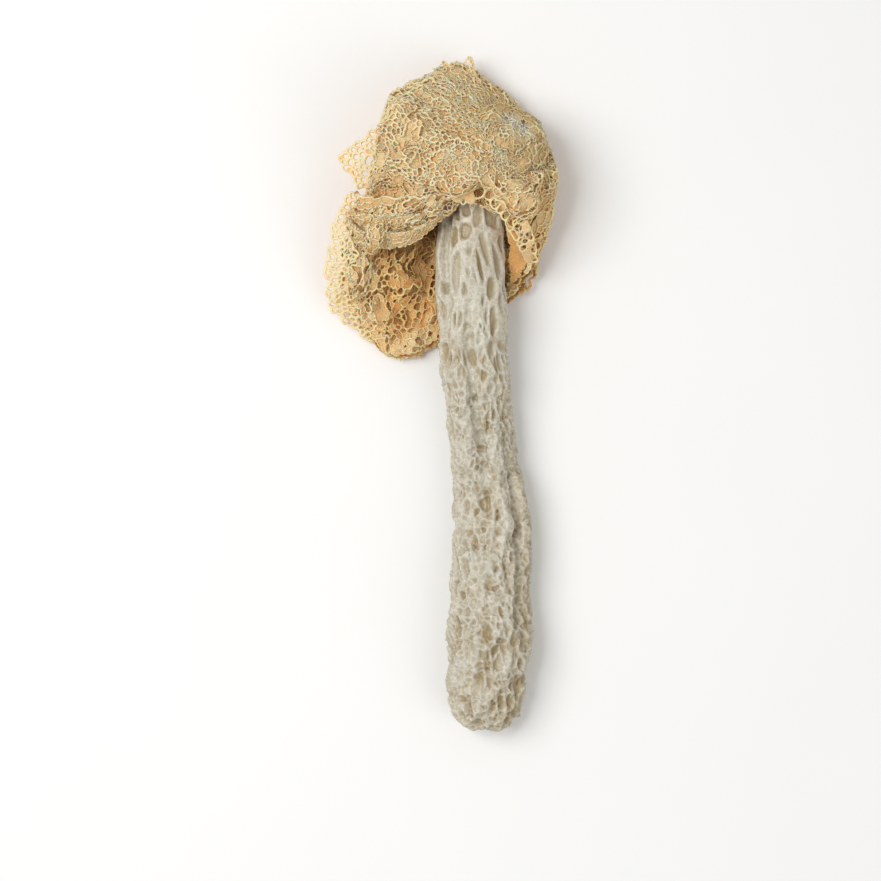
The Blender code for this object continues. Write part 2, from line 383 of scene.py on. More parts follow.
def nearest_places(sheet: Sheet, places: np.ndarray) -> np.ndarray:
    """The number of the place nearest to each of the sheet's own points.

    The numbers spread from point to point over the sheet. A turn of the surface counts as
    distance too, so that the two sides of a tight roll keep their own places.

    Args:
        sheet: The form.
        places: (u, v) places on it.

    Returns:
        A number for each point of the grid.
    """
    points = sheet.grid[..., :3]
    felt = Sheet(np.concatenate([points, outward_of(points, sheet.wraps) * BEND], axis=2), sheet.wraps)
    homes = felt.at(places)
    rows, columns = points.shape[:2]
    i = np.round(places[:, 1] * (rows - 1)).astype(int)
    j = np.round(places[:, 0] * (columns if sheet.wraps else columns - 1)).astype(int) % columns
    nearest = np.full((rows, columns), -1)
    nearest[i, j] = np.arange(len(places))
    far = np.full((rows, columns), np.inf)
    for step in SPREAD_STEPS:
        for down in (-step, 0, step):
            for across in (-step, 0, step):
                offered = np.roll(nearest, (down, across), axis=(0, 1))
                if down:
                    offered[slice(0, down) if down > 0 else slice(down, None)] = -1
                if across and not sheet.wraps:
                    offered[:, slice(0, across) if across > 0 else slice(across, None)] = -1
                gap = ((felt.grid - homes[offered]) ** 2).sum(axis=2)
                nearer = (offered >= 0) & (gap < far)
                nearest[nearer] = offered[nearer]
                far[nearer] = gap[nearer]
    return nearest


def meeting_threes(sheet: Sheet, places: np.ndarray) -> list[tuple[int, int, int]]:
    """The sets of three places whose cells meet in a corner.

    Args:
        sheet: The form.
        places: (u, v) places on it.

    Returns:
        The numbers of each three, in order.
    """
    nearest = nearest_places(sheet, places)
    beside = np.roll(nearest, -1, axis=1) if sheet.wraps else nearest[:, 1:]
    here = nearest[:, : beside.shape[1]]
    squares = np.stack([here[:-1], beside[:-1], beside[1:], here[1:]], axis=-1).reshape(-1, 4)
    squares = squares[squares.min(axis=1) >= 0]
    ranked = np.sort(squares, axis=1)
    kinds = 1 + (np.diff(ranked, axis=1) > 0).sum(axis=1)
    homes = sheet.at(places)[:, :3]
    threes = {tuple(sorted(set(square))) for square in squares[kinds == 3].tolist()}
    for a, b, c, d in squares[kinds == 4].tolist():
        if np.linalg.norm(homes[a] - homes[c]) > np.linalg.norm(homes[b] - homes[d]):
            a, b, c, d = b, c, d, a
        threes |= {tuple(sorted((a, b, c))), tuple(sorted((a, c, d)))}
    return sorted(threes)


def openings_between(sheet: Sheet, places: np.ndarray) -> tuple[np.ndarray, list[list[int]]]:
    """The corners and the cells round the picked places.

    A cell's corners are the middles of the threes that its place is in, and a place at the
    sheet's open edge has no cell.

    Args:
        sheet: The form.
        places: (u, v) places on it.

    Returns:
        The (u, v) of each corner, and each cell's corners in order.
    """
    corners = []
    around: list[list[tuple[float, int, tuple[int, int, int]]]] = [[] for _ in places]
    for members in meeting_threes(sheet, places):
        spots = places[list(members)]
        if sheet.wraps:
            spots[:, 0] -= np.round(spots[:, 0] - spots[0, 0])
        middle = spots.mean(axis=0)
        for spot, i in zip(spots, members):
            away = middle - spot
            angle = math.atan2(away[1] * sheet.down, away[0] * sheet.around)
            around[i].append((angle, len(corners), members))
        corners.append(middle)
    cells = []
    for i, ring in enumerate(around):
        ring.sort(key=lambda item: item[0])
        closed = len(ring) > 2 and all(
            len(set(here[2]) & set(after[2]) - {i}) >= 1
            for here, after in zip(ring, ring[1:] + ring[:1])
        )
        if closed:
            cells.append([number for _, number, _ in ring])
    return np.array(corners), cells


class Measure:
    """The named measures kept at each corner of a mesh, which its finish reads."""

    # How sunk a spot is: the finishes show it as painted shade, its low values on the stem's crests as
    # painted light, and on the veil it also fades the pale patch
    SUNK = "sunk"
    THICK = "thick"
    # Yellow on the stem's side and foot, and painted shade at its top under the net
    STAIN_AND_SHADE = "stain"
    BOLD = "bold"


def keep_measure(mesh: bpy.types.Mesh, name: str, values: np.ndarray) -> None:
    """Keeps one number at each corner of the mesh.

    Args:
        mesh: The mesh.
        name: What the number is called.
        values: One number for each corner.
    """
    kept = mesh.attributes.new(name, "FLOAT", "POINT")
    kept.data.foreach_set("value", np.asarray(values, np.float32).ravel())


def applied(piece: bpy.types.Object) -> None:
    """Turns the piece's modifiers into its own mesh.

    Args:
        piece: The piece.
    """
    bpy.context.view_layer.update()
    graph = bpy.context.evaluated_depsgraph_get()
    made = bpy.data.meshes.new_from_object(piece.evaluated_get(graph), depsgraph=graph)
    piece.modifiers.clear()
    old = piece.data
    piece.data = made
    bpy.data.meshes.remove(old)
    made.name = piece.name


def linked(name: str, mesh: bpy.types.Mesh) -> bpy.types.Object:
    """Puts a mesh in the scene.

    Args:
        name: The object's name.
        mesh: Its mesh.

    Returns:
        The object.
    """
    piece = bpy.data.objects.new(name, mesh)
    bpy.context.scene.collection.objects.link(piece)
    return piece


def tube_object(name: str, grid: np.ndarray, measures: dict[str, np.ndarray]) -> bpy.types.Object:
    """A closed tube of quads with a face on each end.

    Args:
        name: The piece's name.
        grid: Points in millimetres by row and column; the columns wrap.
        measures: Numbers kept at each point.

    Returns:
        The object, smooth shaded.
    """
    rows, columns = grid.shape[:2]
    numbers = np.arange(rows * columns).reshape(rows, columns)
    beside = np.roll(numbers, -1, axis=1)
    quads = np.stack([numbers[:-1], beside[:-1], beside[1:], numbers[1:]], axis=-1)
    faces = quads.reshape(-1, 4).tolist()
    faces.append(numbers[0, ::-1].tolist())
    faces.append(numbers[-1].tolist())
    mesh = bpy.data.meshes.new(name)
    mesh.from_pydata((grid.reshape(-1, 3) * MM).tolist(), [], faces)
    for measure, values in measures.items():
        keep_measure(mesh, measure, values)
    mesh.shade_smooth()
    return linked(name, mesh)


def mark_veins(mesh: bmesh.types.BMesh, weave: Weave, draw: random.Random) -> None:
    """Keeps at each corner how thick its strands are, with long lines of the thickest, which lose some
    painted shade.

    Args:
        mesh: The lace's cells.
        weave: Says how many lines there are and how long.
        draw: The source of chance.
    """
    thick = mesh.verts.layers.float.new(Measure.THICK)
    sunk, bold = (mesh.verts.layers.float[name] for name in (Measure.SUNK, Measure.BOLD))
    corners = list(mesh.verts)
    for corner in corners:
        corner[thick] = max(weave.thinnest * draw.uniform(*THICKNESS_CHANCE), corner[bold])
    for _ in range(weave.veins):
        here = draw.choice(corners)
        heading = Vector((draw.uniform(-1, 1), draw.uniform(-1, 1), draw.uniform(-1, 1)))
        heading.normalize()
        for _ in range(weave.vein_steps):
            if here[thick] < 1.0:
                here[thick] = 1.0
                # The vein loses some painted shade
                here[sunk] -= VEIN_SHADE_CUT
            beside = [side.other_vert(here) for side in here.link_edges]
            onward = [(corner.co - here.co).normalized() for corner in beside]
            best = max(range(len(onward)), key=lambda k: onward[k].dot(heading))
            if onward[best].dot(heading) < VEIN_AHEAD:
                break
            heading = (heading * VEIN_HEADING[0] + onward[best] * VEIN_HEADING[1]).normalized()
            here = beside[best]


def cell_mesh(form: Sheet, weave: Weave) -> bmesh.types.BMesh:
    """The cells of lace over a sheet, some of their sides missing.

    Args:
        form: The sheet.
        weave: The lace's openings.

    Returns:
        A mesh with a face for each cell.
    """
    corners, cells = openings_between(form, spread_places(form, weave))
    mesh = bmesh.new()
    mesh.verts.layers.float.new(Measure.SUNK)
    mesh.verts.layers.float.new(Measure.BOLD)
    sunk, bold = (mesh.verts.layers.float[name] for name in (Measure.SUNK, Measure.BOLD))
    points = []
    for x, y, z, depth, boldness, _ in form.at(corners).tolist():
        corner = mesh.verts.new((x * MM, y * MM, z * MM))
        corner[sunk], corner[bold] = depth, boldness
        points.append(corner)
    for cell in cells:
        mesh.faces.new([points[k] for k in cell])
    bmesh.ops.delete(mesh, geom=[p for p in mesh.verts if not p.link_faces], context="VERTS")
    draw = random.Random(weave.seed + 1)
    inner = [side for side in mesh.edges if len(side.link_faces) == 2]
    gone = [side for side in inner if draw.random() < weave.torn]
    bmesh.ops.dissolve_edges(mesh, edges=gone, use_verts=False)
    free = [corner for corner in mesh.verts if not corner.is_boundary]
    for _ in range(weave.easing):
        bmesh.ops.smooth_vert(
            mesh, verts=free, factor=EASE, use_axis_x=True, use_axis_y=True, use_axis_z=True
        )
    mesh.normal_update()
    return mesh


def film_object(name: str, cells: bmesh.types.BMesh, weave: Weave) -> bpy.types.Object:
    """Dried film across some of the cells, under their strands.

    Args:
        name: The piece's name.
        cells: The lace's cells.
        weave: Says what share of them has film.

    Returns:
        The object, smooth shaded.
    """
    draw = random.Random(weave.seed + 2)
    mesh = cells.copy()
    bold = mesh.verts.layers.float[Measure.BOLD]
    for corner in mesh.verts:
        corner.co -= corner.normal * weave.film_sunk * MM
    bare = [
        face
        for face in mesh.faces
        if draw.random() > weave.filmed * (1.0 - face.verts[0][bold] ** 2)
    ]
    bmesh.ops.delete(mesh, geom=bare, context="FACES")
    bmesh.ops.poke(mesh, faces=mesh.faces, offset=-weave.film_sag * MM, center_mode="MEAN")
    data = bpy.data.meshes.new(name)
    mesh.to_mesh(data)
    mesh.free()
    data.shade_smooth()
    return linked(name, data)


def lace_objects(name: str, form: Sheet, weave: Weave) -> list[bpy.types.Object]:
    """Lace over a sheet: a rounded strand along each side of each cell, and film in some.

    Args:
        name: The piece's name.
        form: The sheet.
        weave: The lace's openings and strands.

    Returns:
        The strands and, where there is film, the film.
    """
    cells = cell_mesh(form, weave)
    made = []
    if weave.filmed > 0.0:
        made.append(film_object(name + "_film", cells, weave))
    draw = random.Random(weave.seed + 3)
    for corner in cells.verts:
        corner.co += corner.normal * (draw.uniform(*CORNER_CHANCE) * weave.uneven * MM)
    mark_veins(cells, weave, draw)
    if not weave.rounded:
        bmesh.ops.subdivide_edges(cells, edges=cells.edges, cuts=1)
    data = bpy.data.meshes.new(name)
    cells.to_mesh(data)
    cells.free()
    piece = linked(name, data)
    size = piece.vertex_groups.new(name="strand")
    for corner, thick in enumerate(data.attributes[Measure.THICK].data):
        size.add([corner], min(thick.value, 1.0), "REPLACE")
    wire = piece.modifiers.new("strands", "WIREFRAME")
    wire.thickness = weave.strand * MM
    wire.use_even_offset = False
    wire.use_boundary = True
    wire.use_replace = True
    wire.vertex_group = "strand"
    if weave.rounded:
        rounded = piece.modifiers.new("rounded", "SUBSURF")
        rounded.levels = rounded.render_levels = 1
    applied(piece)
    piece.data.shade_smooth()
    return [piece] + made


@dataclass(frozen=True)
class Patches:
    """Patches of one size that run from low to high between two values of the noise."""

    size: float
    low: float
    high: float
    within: Span = (0.3, 0.7)


@dataclass(frozen=True)
class Grain:
    """Fine relief: its size, its finer layers, how much it counts and how close it lies."""

    size: float
    layers: float = 4.0
    share: float = 1.0
    stretch: Point = (1.0, 1.0, 1.0)


class Sketch:
    """A material's node tree, drawn one node at a time round one Principled shader."""

    DEEPEST = (0.85, 1.35)
    # The upward normal at which painted shade on a side starts, and at which it is full
    LEVEL_TO_SIDE = (0.95, 0.1)
    CORE = 0.3

    def __init__(self, name: str) -> None:
        """Starts the material.

        Args:
            name: The material's name.
        """
        self.material = bpy.data.materials.new(name)
        self.material.use_nodes = True
        self.tree = self.material.node_tree
        self.shader = self.tree.nodes["Principled BSDF"]
        self.place = self.tree.nodes.new("ShaderNodeTexCoord").outputs["Object"]

    def put(self, value: Socket | float | tuple[float, ...], socket: Socket) -> None:
        """Links a socket to another, or sets it.

        Args:
            value: A socket, or what to set.
            socket: The socket that is linked or set.
        """
        if isinstance(value, Socket):
            self.tree.links.new(value, socket)
        else:
            socket.default_value = value

    def node(self, kind: str, inputs: dict[str | int, object], **settings: object) -> bpy.types.Node:
        """A new node.

        Args:
            kind: The kind of node.
            inputs: What each of its sockets is linked or set to.
            settings: Its other settings.

        Returns:
            The node.
        """
        node = self.tree.nodes.new("ShaderNode" + kind)
        for name, value in settings.items():
            setattr(node, name, value)
        for name, value in inputs.items():
            self.put(value, node.inputs[name])
        return node

    def measured(self, name: str) -> Socket:
        """The measure of that name kept in the mesh."""
        return self.node("Attribute", {}, attribute_name=name).outputs["Fac"]

    def cloudy(self, size: float, detail: float = 3.0, stretch: Point = (1, 1, 1)) -> Socket:
        """Noise about 0.5.

        Args:
            size: The size of its patches, in millimetres.
            detail: How many finer layers it has.
            stretch: How much closer it lies along each axis.

        Returns:
            The noise.
        """
        spread = self.node("Mapping", {"Vector": self.place, "Scale": stretch}).outputs["Vector"]
        inputs = {"Vector": spread, "Scale": 1.0 / (size * MM), "Detail": detail}
        return self.node("TexNoise", inputs).outputs["Fac"]

    def patchy(self, patches: Patches) -> Socket:
        """The given patches."""
        return self.ranged(self.cloudy(patches.size), *patches.within, patches.low, patches.high)

    def grainy(self, grain: Grain) -> Socket:
        """The given grain, from 0 to its share."""
        return self.weakened(self.cloudy(grain.size, grain.layers, grain.stretch), grain.share)

    def deepest(self) -> Socket:
        """From 0 in the lace to 1 in its deepest shade."""
        return self.ranged(self.measured(Measure.SUNK), *self.DEEPEST, 0.0, 1.0)

    def shaded_flanks(self, strength: float) -> Socket:
        """Painted shade on steep sides: how far a spot lies on a side.

        Args:
            strength: The result on a steep side; a level spot has 0.

        Returns:
            The result.
        """
        normal = self.node("NewGeometry", {}).outputs["Normal"]
        upward = self.node("SeparateXYZ", {0: normal}).outputs["Z"]
        return self.ranged(upward, *self.LEVEL_TO_SIDE, 0.0, strength)

    def threads(self, size: float, width: float) -> Socket:
        """Lines round irregular cells, 1 on a line and 0 off it.

        Args:
            size: The size of the cells, in millimetres.
            width: The lines' width as a share of that.

        Returns:
            The lines.
        """
        reach, scale = size * MM, 1.0 / (size * MM)
        bent = self.node("TexNoise", {"Vector": self.place, "Scale": scale}).outputs["Color"]
        inputs = {0: bent, 1: (reach, reach, reach), 2: self.place}
        moved = self.node("VectorMath", inputs, operation="MULTIPLY_ADD").outputs["Vector"]
        inputs = {"Vector": moved, "Scale": scale}
        cells = self.node("TexVoronoi", inputs, feature="DISTANCE_TO_EDGE")
        return self.ranged(cells.outputs["Distance"], self.CORE * width, width, 1.0, 0.0)

    def ranged(self, value: Socket, start: float, end: float, low: float, high: float) -> Socket:
        """The value's range from start to end as low to high.

        Args:
            value: What is ranged.
            start: The value that becomes low.
            end: The value that becomes high.
            low: The first result.
            high: The second result.

        Returns:
            The result, kept between low and high.
        """
        inputs = {"Value": value, "From Min": start, "From Max": end, "To Min": low, "To Max": high}
        return self.node("MapRange", inputs).outputs["Result"]

    def summed(self, first: Socket, second: Socket | float, kind: str = "ADD") -> Socket:
        """Two values added, or joined by another kind of sum, and kept from 0 to 1."""
        return self.node("Math", {0: first, 1: second}, operation=kind, use_clamp=True).outputs[0]

    def blended(self, share: Socket, first: Socket | Colour, second: Socket | Colour) -> Socket:
        """A colour between two.

        Args:
            share: 0 for the first and 1 for the second.
            first: A colour or a socket.
            second: A colour or a socket.

        Returns:
            The blended colour.
        """
        start, end = (side if isinstance(side, Socket) else (*side, 1.0) for side in (first, second))
        return self.node("Mix", {0: share, 6: start, 7: end}, data_type="RGBA").outputs[2]

    def weakened(self, value: Socket, most: float) -> Socket:
        """The value from 0 to 1, as 0 to the given most."""
        return self.ranged(value, 0.0, 1.0, 0.0, most)

    def coloured(self, colour: Socket) -> None:
        """Gives the surface its colour."""
        self.put(colour, self.shader.inputs["Base Color"])

    def polished(self, rough: Patches, gloss: float) -> None:
        """Says how rough and how glossy the surface is."""
        self.put(self.patchy(rough), self.shader.inputs["Roughness"])
        self.shader.inputs["Specular IOR Level"].default_value = gloss

    def roughened(self, height: Socket, strength: float, depth: float) -> None:
        """Gives the surface relief.

        Args:
            height: The relief.
            strength: How strongly it shows.
            depth: How deep it is, in millimetres.
        """
        inputs = {"Strength": strength, "Distance": depth * MM, "Height": height}
        self.put(self.node("Bump", inputs).outputs["Normal"], self.shader.inputs["Normal"])

    def lit_through(self, share: float) -> None:
        """Lets part of the light through to the far side, in the surface's own colour.

        Args:
            share: How much of it.
        """
        colour = self.shader.inputs["Base Color"].links[0].from_socket
        through = self.node("BsdfTranslucent", {"Color": colour}).outputs[0]
        mixed = self.node("MixShader", {0: share, 1: self.shader.outputs[0], 2: through})
        self.put(mixed.outputs[0], self.tree.nodes["Material Output"].inputs["Surface"])


@dataclass(frozen=True)
class Flesh:
    """How light sinks into dried fungus flesh."""

    soak: float
    reach: float
    tint: Colour = (1.0, 0.62, 0.36)

    def give(self, shader: bpy.types.Node) -> None:
        """Sets the shader's own sockets.

        Args:
            shader: The shader.
        """
        shader.inputs["Subsurface Weight"].default_value = self.soak
        shader.inputs["Subsurface Radius"].default_value = self.tint
        shader.inputs["Subsurface Scale"].default_value = self.reach * MM


@dataclass(frozen=True)
class SpongeFinish:
    """The stem: off-white crests with painted glints along pale curls, pits darkened to tan as painted
    shade, yellow on one side, and painted shade at the top under the net.
    """

    crest: Colour = (0.53, 0.485, 0.38)
    curl_glint: Colour = (0.72, 0.70, 0.62)
    # The colour of the deepest pits: painted shade, with each pit's own tone
    pit: Colour = (0.36, 0.265, 0.13)
    stain: Colour = (0.46, 0.37, 0.21)
    mottle: Patches = Patches(3.0, -0.12, 0.12)
    stain_and_shade_patches: Patches = Patches(9.0, -0.25, 0.35, (0.35, 0.7))
    stained_and_shaded: float = 0.85
    curl_size: float = 1.5
    curl_width: float = 0.2
    curl_glint_ends: Span = (0.1, 0.7)
    curl_glinted: float = 0.45
    curl_relief: float = 0.3
    rough: Patches = Patches(2.0, 0.27, 0.52, (0.35, 0.65))
    gloss: float = 0.7
    grain: Grain = Grain(0.45, 4.0, 0.7, (1.0, 0.6, 1.0))
    relief: Span = (0.55, 0.35)
    flesh: Flesh = Flesh(0.12, 0.6)

    def material(self) -> bpy.types.Material:
        """Draws the finish.

        Returns:
            The material.
        """
        sketch = Sketch("stem_sponge")
        sunk = sketch.summed(sketch.measured(Measure.SUNK), sketch.patchy(self.mottle))
        # The yellow colour, which is also painted shade at the top under the net
        patches = sketch.patchy(self.stain_and_shade_patches)
        stained_and_shaded = sketch.summed(sketch.measured(Measure.STAIN_AND_SHADE), patches)
        skin = sketch.blended(sketch.weakened(stained_and_shaded, self.stained_and_shaded), self.crest, self.stain)
        # Painted shade in the pits, and painted light on the crests
        skin = sketch.blended(sunk, skin, self.pit)
        # Painted glints: pale lines along the curls, fading in the pits; the curls are raised as
        # relief too
        curls = sketch.threads(self.curl_size, self.curl_width)
        fading = sketch.ranged(sunk, *self.curl_glint_ends, self.curl_glinted, 0.0)
        sketch.coloured(sketch.blended(sketch.summed(curls, fading, "MULTIPLY"), skin, self.curl_glint))
        sketch.polished(self.rough, self.gloss)
        curls = sketch.weakened(curls, self.curl_relief)
        sketch.roughened(sketch.summed(sketch.grainy(self.grain), curls), *self.relief)
        self.flesh.give(sketch.shader)
        return sketch.material


@dataclass(frozen=True)
class LaceFinish:
    """The lace: cream where it is outermost, and warm orange painted shade deeper in and on its sides.
    """

    name: str
    outer: Colour = (0.95, 0.81, 0.53)
    inner: Colour = (0.98, 0.64, 0.27)
    deep: Colour = (0.66, 0.36, 0.12)
    patches: Patches = Patches(12.0, -0.22, 0.22)
    # How orange the steep sides are, as painted shade
    sides: float = 1.0
    rough: Patches = Patches(1.5, 0.45, 0.75)
    gloss: float = 0.15
    grain: float = 0.3
    relief: Span = (0.35, 0.12)
    thin: float = 0.12
    flesh: Flesh = Flesh(0.6, 1.2)

    def material(self) -> bpy.types.Material:
        """Draws the finish.

        Returns:
            The material.
        """
        sketch = Sketch(self.name)
        # Painted shade: more orange deeper in, on steep sides and in the deepest shade; the patches
        # are the lace's own uneven tone
        depth = sketch.summed(sketch.measured(Measure.SUNK), sketch.patchy(self.patches))
        depth = sketch.summed(depth, sketch.shaded_flanks(self.sides))
        skin = sketch.blended(depth, self.outer, self.inner)
        sketch.coloured(sketch.blended(sketch.deepest(), skin, self.deep))
        sketch.polished(self.rough, self.gloss)
        sketch.roughened(sketch.cloudy(self.grain), *self.relief)
        self.flesh.give(sketch.shader)
        sketch.lit_through(self.thin)
        return sketch.material


@dataclass(frozen=True)
class FilmFinish:
    """The dried film in the lace: thin and golden, orange painted shade deeper in and on its sides,
    with finer threads drawn across it.
    """

    name: str
    pale: Colour = (0.98, 0.72, 0.37)
    dark: Colour = (0.94, 0.47, 0.14)
    deep: Colour = (0.58, 0.33, 0.13)
    thread: Colour = (0.94, 0.77, 0.46)
    patches: Patches = Patches(8.0, -0.2, 0.2)
    thread_size: float = 1.1
    thread_width: float = 0.14
    thread_ends: Span = (0.1, 1.0)
    threaded: Span = (0.8, 0.3)
    # How orange the steep sides are, as painted shade
    sides: float = 0.5
    rough: Patches = Patches(1.0, 0.4, 0.7)
    gloss: float = 0.15
    grain: Grain = Grain(0.4, 4.0, 0.4)
    relief: Span = (0.7, 0.3)
    thin: float = 0.18
    flesh: Flesh = Flesh(0.4, 1.0)

    def material(self) -> bpy.types.Material:
        """Draws the finish.

        Returns:
            The material.
        """
        sketch = Sketch(self.name)
        depth = sketch.summed(sketch.measured(Measure.SUNK), sketch.patchy(self.patches))
        threads = sketch.threads(self.thread_size, self.thread_width)
        fading = sketch.ranged(depth, *self.thread_ends, *self.threaded)
        # Painted shade: darker orange deeper in and on steep sides
        film = sketch.blended(sketch.summed(depth, sketch.shaded_flanks(self.sides)), self.pale, self.dark)
        film = sketch.blended(sketch.deepest(), film, self.deep)
        sketch.coloured(sketch.blended(sketch.summed(threads, fading, "MULTIPLY"), film, self.thread))
        sketch.polished(self.rough, self.gloss)
        sketch.roughened(sketch.summed(threads, sketch.grainy(self.grain)), *self.relief)
        self.flesh.give(sketch.shader)
        sketch.lit_through(self.thin)
        return sketch.material


@dataclass(frozen=True)
class FeltFinish:
    """The cap's disc: pale, matt and finely furred, darker as painted shade in its hollows and pore.
    """

    pale: Colour = (0.88, 0.81, 0.64)
    dark: Colour = (0.72, 0.60, 0.40)
    specks: Patches = Patches(0.7, 0.0, 0.5, (0.4, 0.65))
    rough: Patches = Patches(1.0, 0.7, 0.95)
    gloss: float = 0.5
    fur: float = 0.25
    fur_layers: float = 4.0
    relief: Span = (0.7, 0.2)
    flesh: Flesh = Flesh(0.3, 0.8)

    def material(self) -> bpy.types.Material:
        """Draws the finish.

        Returns:
            The material.
        """
        sketch = Sketch("cap_felt")
        shade = sketch.summed(sketch.measured(Measure.SUNK), sketch.patchy(self.specks))
        sketch.coloured(sketch.blended(shade, self.pale, self.dark))
        sketch.polished(self.rough, self.gloss)
        sketch.roughened(sketch.cloudy(self.fur, self.fur_layers), *self.relief)
        self.flesh.give(sketch.shader)
        return sketch.material


@dataclass(frozen=True)
class TableFinish:
    """The pale table."""

    pale: Colour = (0.93, 0.93, 0.92)
    shade: Colour = (0.90, 0.90, 0.89)
    patch_size: float = 60.0
    rough: Patches = Patches(5.0, 0.8, 0.9)
    gloss: float = 0.5

    def material(self) -> bpy.types.Material:
        """Draws the finish.

        Returns:
            The material.
        """
        sketch = Sketch("table")
        sketch.coloured(sketch.blended(sketch.cloudy(self.patch_size), self.pale, self.shade))
        sketch.polished(self.rough, self.gloss)
        return sketch.material


@dataclass(frozen=True)
class Crumple:
    """One size of wrinkle on the stem: its height, its size, and what the ribs take away."""

    height: float
    size: float
    shift: float
    sharp: float
    lost_on_ribs: float
    axis: int = 0

    def crests(self, points: np.ndarray) -> np.ndarray:
        """The wrinkles, their crests 1 high."""
        return 1.0 - self.sharp * np.abs(cloud(points, self.size, self.shift)[:, self.axis])

    def left(self, ribbed: np.ndarray) -> np.ndarray:
        """What is left of the wrinkles where the stem is ribbed."""
        return 1 - self.lost_on_ribs * ribbed


@dataclass
class Stem:
    """The spongy stalk: a bent, creased tube whose wall is a net of ribs round sunk pits."""

    stations: tuple[tuple[float, float, float, float, float], ...] = (
        (-1.2, -17.5, 6.5, 9.4, 7.1),
        (0.0, -2.0, 7.3, 10.8, 8.0),
        (0.4, 14.0, 7.1, 10.1, 7.6),
        (0.5, 30.0, 6.8, 9.6, 7.1),
        (-1.4, 46.0, 6.5, 8.2, 6.7),
        (-3.3, 61.0, 7.9, 8.4, 6.6),
        (-4.4, 80.0, 10.3, 9.3, 7.0),
        (-5.1, 98.0, 11.6, 9.3, 7.0),
        (-3.8, 111.0, 12.4, 8.4, 6.7),
        (1.2, 120.5, 13.2, 6.0, 5.7),
        (6.2, 128.1, 17.2, 4.4, 4.4),
    )
    foot_share: float = 0.085
    foot_depth: float = 8.0
    pucker_size: float = 0.16
    pucker_depth: float = 2.2
    pucker_reach: float = 0.3
    creases: tuple[tuple[float, float, float, float], ...] = (
        (0.27, 0.30, 0.64, 0.17),
        (0.12, 0.10, 0.42, 0.11),
        (0.40, 0.55, 0.95, 0.10),
        (0.62, 0.15, 0.60, 0.12),
        (0.88, 0.40, 0.85, 0.13),
    )
    crease_width: float = 0.035
    rows: int = 490
    columns: int = 196
    length: float = 158.0
    pit_spacing: float = 1.22
    rib_from: float = 0.52
    rib_to: float = 0.72
    rib_stretch: float = 1.6
    rib_growth: float = 1.45
    pit_walls: tuple[float, float] = (0.20, 0.62)
    rib_walls: tuple[float, float] = (0.26, 0.60)
    pit_depth: tuple[float, float] = (0.2, 0.85)
    rib_pit_depth: tuple[float, float] = (0.7, 1.25)
    warp: float = 1.4
    warp_size: float = 3.2
    warp_shift: float = 3.0
    # Wrinkles lie closer across the stem than along it, and are higher towards the foot
    drawn_out: Point = (1.0, 0.45, 1.0)
    folds: Crumple = Crumple(0.85, 6.0, 7.0, 2.2, 0.6)
    wrinkles: Crumple = Crumple(0.62, 2.3, 13.0, 2.4, 0.7)
    fines: Crumple = Crumple(0.10, 1.25, 5.0, 2.4, 0.8, axis=1)
    foot_wrinkled: float = 0.4
    foot_wrinkles: Span = (0.5, 0.2)
    # Painted shade, darker towards the foot: how much, and where it starts and where it is full
    foot_shade: float = 0.15
    foot_shade_span: Span = (0.5, 0.25)
    inset: float = 0.6
    deepest: float = 2.6
    groove: float = 1.7
    groove_width: float = 0.022
    # How a groove strays from its crease: the size, the shift and the reach in turns
    groove_wander: tuple[float, float, float] = (9.0, 17.0, 0.02)
    # Below this height nothing stands out, so that the stem still rests on its flat spot
    rest_height: float = 1.6
    pit_shape: float = 1.2
    pit_variety: float = 1.0
    pit_patch: float = 3.5
    pit_rows: int = 160
    pit_columns: int = 96
    gauge_steps: int = 400
    # How far to each side the stem's direction is taken
    step: float = 0.01
    # Painted shade in the pits, with each pit's own tone: at least, with its depth, in the
    # shallowest and with its own chance
    pit_tone_and_shade: tuple[float, float, float, float] = (0.25, 0.75, 0.55, 0.45)
    # Painted light on the crests: each size's share and the height at which it has none
    fold_light: Span = (0.3, 0.4)
    fine_light: Span = (0.1, 0.2)
    wrinkle_light: Span = (0.6, 0.35)
    # The yellow at the side and the foot, and the painted shade under the net: how much of each, and
    # where each runs
    stains_and_shade: tuple[float, float, float] = (0.75, 0.5, 0.5)
    side_turn: float = 0.97
    side_reach: Span = (0.15, 0.95)
    side_end: Span = (0.8, 0.4)
    foot_end: Span = (0.16, 0.0)
    net_shade_start: Span = (0.68, 0.86)
    seed: int = 11

    def cross_sections(self, share: np.ndarray) -> tuple[np.ndarray, ...]:
        """Middles, half sizes and the cross directions along the stem.

        Args:
            share: How far along each section lies, 0 to 1.

        Returns:
            The middles, the half widths and heights, and the directions across, up and ahead.
        """
        stations = np.array(self.stations)
        middles = along_line(stations[:, :3], share)
        sizes = along_line(stations[:, 3:], share)
        ahead = along_line(stations[:, :3], np.minimum(share + self.step, 1.0))
        ahead = unit(ahead - along_line(stations[:, :3], np.maximum(share - self.step, 0.0)))
        across = unit(X_AXIS - ahead * ahead[:, :1])
        return middles, sizes, across, np.cross(across, ahead), ahead

    def fallen_in(self, turn: np.ndarray, share: np.ndarray) -> np.ndarray:
        """How far the wall falls in at the creases.

        Args:
            turn: Turns round the stem.
            share: Shares along it.

        Returns:
            A share of the radius for each point.
        """
        fall = np.zeros_like(turn)
        for at, start, end, depth in self.creases:
            away = (turn - at + 0.5) % 1.0 - 0.5
            inside = np.clip((share - start) / (end - start), 0.0, 1.0)
            fall += depth * np.exp(-((away / self.crease_width) ** 2)) * np.sin(math.pi * inside)
        return fall

